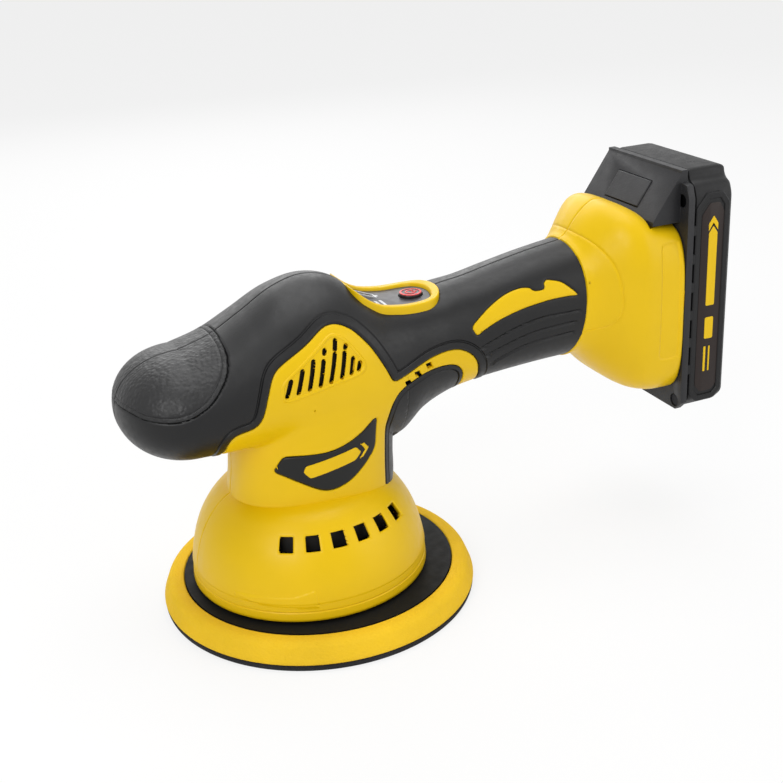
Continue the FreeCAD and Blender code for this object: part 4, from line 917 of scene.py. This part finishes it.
# ---------------------------------------------------------------- battery pack
# A slab of cells in two black shells: the front one carries the tower that
# slides into the foot, the rear one has chamfered bumpers and a ribbed top pad.
pack_black = finish("pack_black", (38, 38, 40), 0.46, grain=1000, depth=0.3, mottle=0.06)
pack_dark = finish("pack_dark", (20, 20, 21), 0.5, grain=1000, depth=0.35, mottle=0.08)
label_brown = finish("label_film_brown", (34, 22, 18), 0.34, grain=900, depth=0.05, mottle=0.06)


def softened(node, name, material, body, width, steps=2):
    """A built shell with its doubles welded and its edges rounded over by a live bevel."""
    mesh = frame["nodes"][node].data.copy()
    shape = bmesh.new()
    shape.from_mesh(mesh)
    bmesh.ops.remove_doubles(shape, verts=shape.verts, dist=0.00001)
    bmesh.ops.dissolve_limit(shape, angle_limit=0.02, verts=shape.verts, edges=shape.edges)
    shape.to_mesh(mesh)
    shape.free()
    mesh.materials.clear()
    mesh.materials.append(material)
    made = bpy.data.objects.new(name, mesh)
    bpy.context.scene.collection.objects.link(made)
    round_over = made.modifiers.new("edges", "BEVEL")
    round_over.width = width
    round_over.segments = steps
    round_over.limit_method = "ANGLE"
    round_over.angle_limit = math.radians(28)
    round_over.harden_normals = False
    round_over.use_clamp_overlap = True
    mesh.polygons.foreach_set("use_smooth", np.ones(len(mesh.polygons), bool))
    mesh.set_sharp_from_angle(angle=math.radians(38))
    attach(made, body)
    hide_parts(node)
    return made


softened("battery_front_housing", "pack_front_shell", pack_black, "battery",
         0.0014)
softened("release_button", "release_key", pack_black, "release", 0.0005)


def turned_in(outline):
    """Unit directions from a closed outline's points towards its inside."""
    along = np.roll(outline, -1, 0) - np.roll(outline, 1, 0)
    inwards = np.stack([-along[:, 1], along[:, 0]], 1)
    inwards /= np.maximum(np.linalg.norm(inwards, axis=1), 1e-9)[:, None]
    following = np.roll(outline, -1, 0)
    area = (outline[:, 0] * following[:, 1] - following[:, 0] * outline[:, 1]).sum()
    return inwards * np.sign(area)


def stepped(outline, profile):
    """A closed solid from an outline and a profile of (inset, height) rows: each row is the
    outline drawn in by its inset at that height, and the first and last rows are capped."""
    inwards, count = turned_in(outline), len(outline)
    layers = [np.column_stack([outline + inwards * inset, np.full(count, height)])
              for inset, height in profile]
    ends = np.stack([layers[0].mean(0), layers[-1].mean(0)])
    i = np.arange(count)
    after, last = (i + 1) % count, (len(layers) - 1) * count
    quads = grid_faces(len(layers), count, False, True)
    return np.vstack(layers + [ends]), np.vstack([
        triangles(quads), np.stack([after, i, 0 * i + len(layers) * count], 1),
        np.stack([last + i, last + after, 0 * i + len(layers) * count + 1], 1)])


def laid(mesh, order, scale=(1, 1, 1)):
    """The same solid with its axes put in another order, and mirrored where the scale says."""
    points, faces = mesh
    return points[:, order] * scale, faces


half_outline = [(0.01, 65), (31.5, 65), (36.8, 70.5), (36.8, 171.5), (34.6, 177.6), (30.6, 179.4),
                (29.6, 184.3), (0.01, 184.3)]
rear_outline = rounded(half_outline + [(-y, z) for y, z in half_outline[::-1]], 2.2)
rear_shell = stepped(rear_outline, [(1.2, 186.6), (0.4, 187.0), (0.4, 188.6), (1.0, 189.0),
                                    (1.0, 189.6), (0.2, 190.0), (0.0, 191), (0.0, 206.6),
                                    (0.3, 208.4), (0.9, 209.8), (1.7, 210.7), (2.4, 211)])
piece("pack_rear_shell", *laid(rear_shell, [2, 0, 1]), pack_dark, "battery", "battery_plastic",
      ["battery_rear_case"], crease=40)

# Bumper frames stand proud round the labels, with cut corners and grip notches.
LABEL = rounded([(193.2, 77), (196.6, 73.4), (203, 73.4), (206.2, 77), (206.2, 163), (203, 168.6),
                 (197.4, 168.6), (193.2, 163)], 1.2)
FRAME = rounded([(189.8, 73), (194, 68.6), (204.4, 68.6), (208.6, 73), (208.6, 168), (204.6, 173.6),
                 (195.6, 173.6), (189.8, 167)], 1.4)
frame_rows = [(0, 36.2), (0, 37.1), (0.5, 37.5), (2.6, 37.5), (3.0, 37.1), (3.0, 36.2)]
inwards = turned_in(FRAME)
frame_points = np.concatenate([
    np.column_stack([FRAME + inwards * inset, np.full(len(FRAME), -height)])
    for inset, height in frame_rows])
bumper = laid((frame_points, grid_faces(len(frame_rows), len(FRAME), True, True)), [0, 2, 1])


def on_side(outline, profile):
    """A stepped solid that stands on the pack's left side, its outline drawn in side view."""
    return laid(stepped(outline, profile), [0, 2, 1], (1, -1, 1))


notches = [on_side(rounded([(187.6, z0), (190.8, z0), (190.8, z0 + 5), (187.6, z0 + 5)], 0.6),
                   [(0, 36), (0, 37), (0.4, 37.4)]) for z0 in (84, 98, 112, 126, 140, 154)]
label = on_side(LABEL, [(0, 36.4), (0, 36.95), (0.2, 37.0)])
BARS = [rounded([(197.4, 118), (202.2, 118), (202.2, 154), (199.8, 157.4), (197.4, 154)], 0.7),
        rounded([(197.2, 155.2), (199.8, 159), (202.4, 155.2), (202.4, 158.6), (199.8, 162.4),
                 (197.2, 158.6)], 0.5),
        rounded([(197.4, 101), (202.2, 101), (202.2, 112), (197.4, 112)], 1.0),
        rounded([(197.4, 84), (198.6, 84), (198.6, 97), (197.4, 97)], 0.4),
        rounded([(200.2, 84), (201, 84), (201, 97), (200.2, 97)], 0.3)]
bars_on_label = joined(*[on_side(bar, [(0, 36.9), (0, 37.12)]) for bar in BARS])
for word, side in {"left": 1, "right": -1}.items():
    flip = (1, side, 1)
    for name, (points, faces), material, slot_name, gone in (
            ("pack_bumper", bumper, pack_dark, "battery_plastic", []),
            ("pack_notches", joined(*notches), pack_dark, "battery_plastic", []),
            ("pack_label", label, label_brown, "label_film", [f"battery_label_{word}"]),
            ("pack_label_bars", bars_on_label, yellow, "label_film", [])):
        piece(f"{name}_{word}", points * flip, faces, material, "battery", slot_name, gone)

# The ribbed pad let into the top of the pack: a cosine across its length, which
# fades out within a rim's width of every edge.
PAD_FRONT, PAD_REAR, PAD_HALF, PAD_BASE, PAD_RIM, RIB_PITCH = 192.6, 203, 19, 183.9, 0.6, 1.7
along, over = np.meshgrid(np.linspace(PAD_FRONT, PAD_REAR, 105),
                          np.linspace(-PAD_HALF, PAD_HALF, 40), indexing="ij")
rim = np.minimum(np.minimum(along - PAD_FRONT, PAD_REAR - along),
                 np.minimum(over + PAD_HALF, PAD_HALF - over))
waves = np.cos((along - (PAD_FRONT + PAD_REAR) / 2) * 2 * np.pi / RIB_PITCH)
ribs = PAD_BASE + np.clip(rim, 0, PAD_RIM) * (0.6 + 0.3 * waves)
ribbed = skin_of(np.stack([along, over, ribs], -1).reshape(-1, 3), grid_faces(*along.shape),
                 np.array([197, 0, 100]))
piece("pack_top_pad", *ribbed, pack_dark, "battery", "battery_plastic", ["battery_top_pad"],
      wall=0.8)

# ------------------------------------------------------------- room and camera
# A plain pale table with soft studio lamps: a wide one overhead, a key from the
# front left and a weak fill from the right.
def seen_directly(nodes, links):
    """A socket that is 1 for camera, glossy and transmission rays and 0 for the light that falls
    on the tool, so the plain white background shows, and mirrors, without lighting anything."""
    rays = nodes.new("ShaderNodeLightPath")
    socket = rays.outputs["Is Camera Ray"]
    for kind in ("Is Glossy Ray", "Is Transmission Ray"):
        larger = nodes.new("ShaderNodeMath")
        larger.operation = "MAXIMUM"
        links.new(socket, larger.inputs[0])
        links.new(rays.outputs[kind], larger.inputs[1])
        socket = larger.outputs[0]
    return socket


ground = bpy.data.materials.new("pale_floor")
ground.use_nodes = True
nodes, links = ground.node_tree.nodes, ground.node_tree.links
nodes.clear()
matte = nodes.new("ShaderNodeBsdfDiffuse")
matte.inputs["Color"].default_value = (0.9, 0.9, 0.9, 1)
white = nodes.new("ShaderNodeEmission")
white.inputs["Color"].default_value = (1, 1, 1, 1)
share = nodes.new("ShaderNodeMath")
share.operation = "MULTIPLY"
share.inputs[1].default_value = 0.8
links.new(seen_directly(nodes, links), share.inputs[0])
both = nodes.new("ShaderNodeMixShader")
links.new(share.outputs[0], both.inputs[0])
links.new(matte.outputs[0], both.inputs[1])
links.new(white.outputs[0], both.inputs[2])
surface = nodes.new("ShaderNodeOutputMaterial")
links.new(both.outputs[0], surface.inputs["Surface"])
floor_mesh = bpy.data.meshes.new("floor")
floor_mesh.from_pydata([(-6, -6, 0), (6, -6, 0), (6, 6, 0), (-6, 6, 0)], [], [(0, 1, 2, 3)])
floor_mesh.materials.append(ground)
floor = bpy.data.objects.new("floor", floor_mesh)
bpy.context.scene.collection.objects.link(floor)

world = bpy.data.worlds.new("studio")
bpy.context.scene.world = world
world.use_nodes = True
nodes, links = world.node_tree.nodes, world.node_tree.links
nodes.clear()
soft = nodes.new("ShaderNodeBackground")
soft.inputs["Color"].default_value = (1, 1, 1, 1)
soft.inputs["Strength"].default_value = 0.34
plain = nodes.new("ShaderNodeBackground")
plain.inputs["Color"].default_value = (1, 1, 1, 1)
plain.inputs["Strength"].default_value = 1.0
both = nodes.new("ShaderNodeMixShader")
links.new(seen_directly(nodes, links), both.inputs[0])
links.new(soft.outputs[0], both.inputs[1])
links.new(plain.outputs[0], both.inputs[2])
surface = nodes.new("ShaderNodeOutputWorld")
links.new(both.outputs[0], surface.inputs["Surface"])


def lamp(name, place, towards, size, power):
    """A square soft box at a place, turned to face a point."""
    light = bpy.data.lights.new(name, "AREA")
    light.size = size
    light.energy = power
    box = bpy.data.objects.new(name, light)
    bpy.context.scene.collection.objects.link(box)
    box.location = place
    box.rotation_euler = (Vector(towards) - Vector(place)).to_track_quat("-Z", "Y").to_euler()


MIDDLE = (0.05, 0.0, 0.09)
lamp("overhead", (0.1, 0.1, 1.1), MIDDLE, 0.9, 6.5)
lamp("key", (-0.75, -0.8, 0.75), MIDDLE, 0.6, 6.5)
lamp("fill", (0.9, -0.8, 0.45), MIDDLE, 0.8, 3.0)
lamp("back", (0.2, 1.0, 0.7), MIDDLE, 0.8, 4.0)

eye = bpy.data.cameras.new("camera")
eye.sensor_width = 36
eye.lens = 57.93
camera = bpy.data.objects.new("camera", eye)
bpy.context.scene.collection.objects.link(camera)
right = Vector((0.91634717, -0.39721753, -0.05026026))
up = Vector((0.19785424, 0.34010853, 0.91933666))
back = Vector((-0.34808269, -0.85237575, 0.39024866))
camera.matrix_world = Matrix((
    (right.x, up.x, back.x, -0.16036), (right.y, up.y, back.y, -0.50802),
    (right.z, up.z, back.z, 0.32443), (0, 0, 0, 1)))
bpy.context.scene.camera = camera
bpy.context.scene.view_settings.view_transform = "Standard"
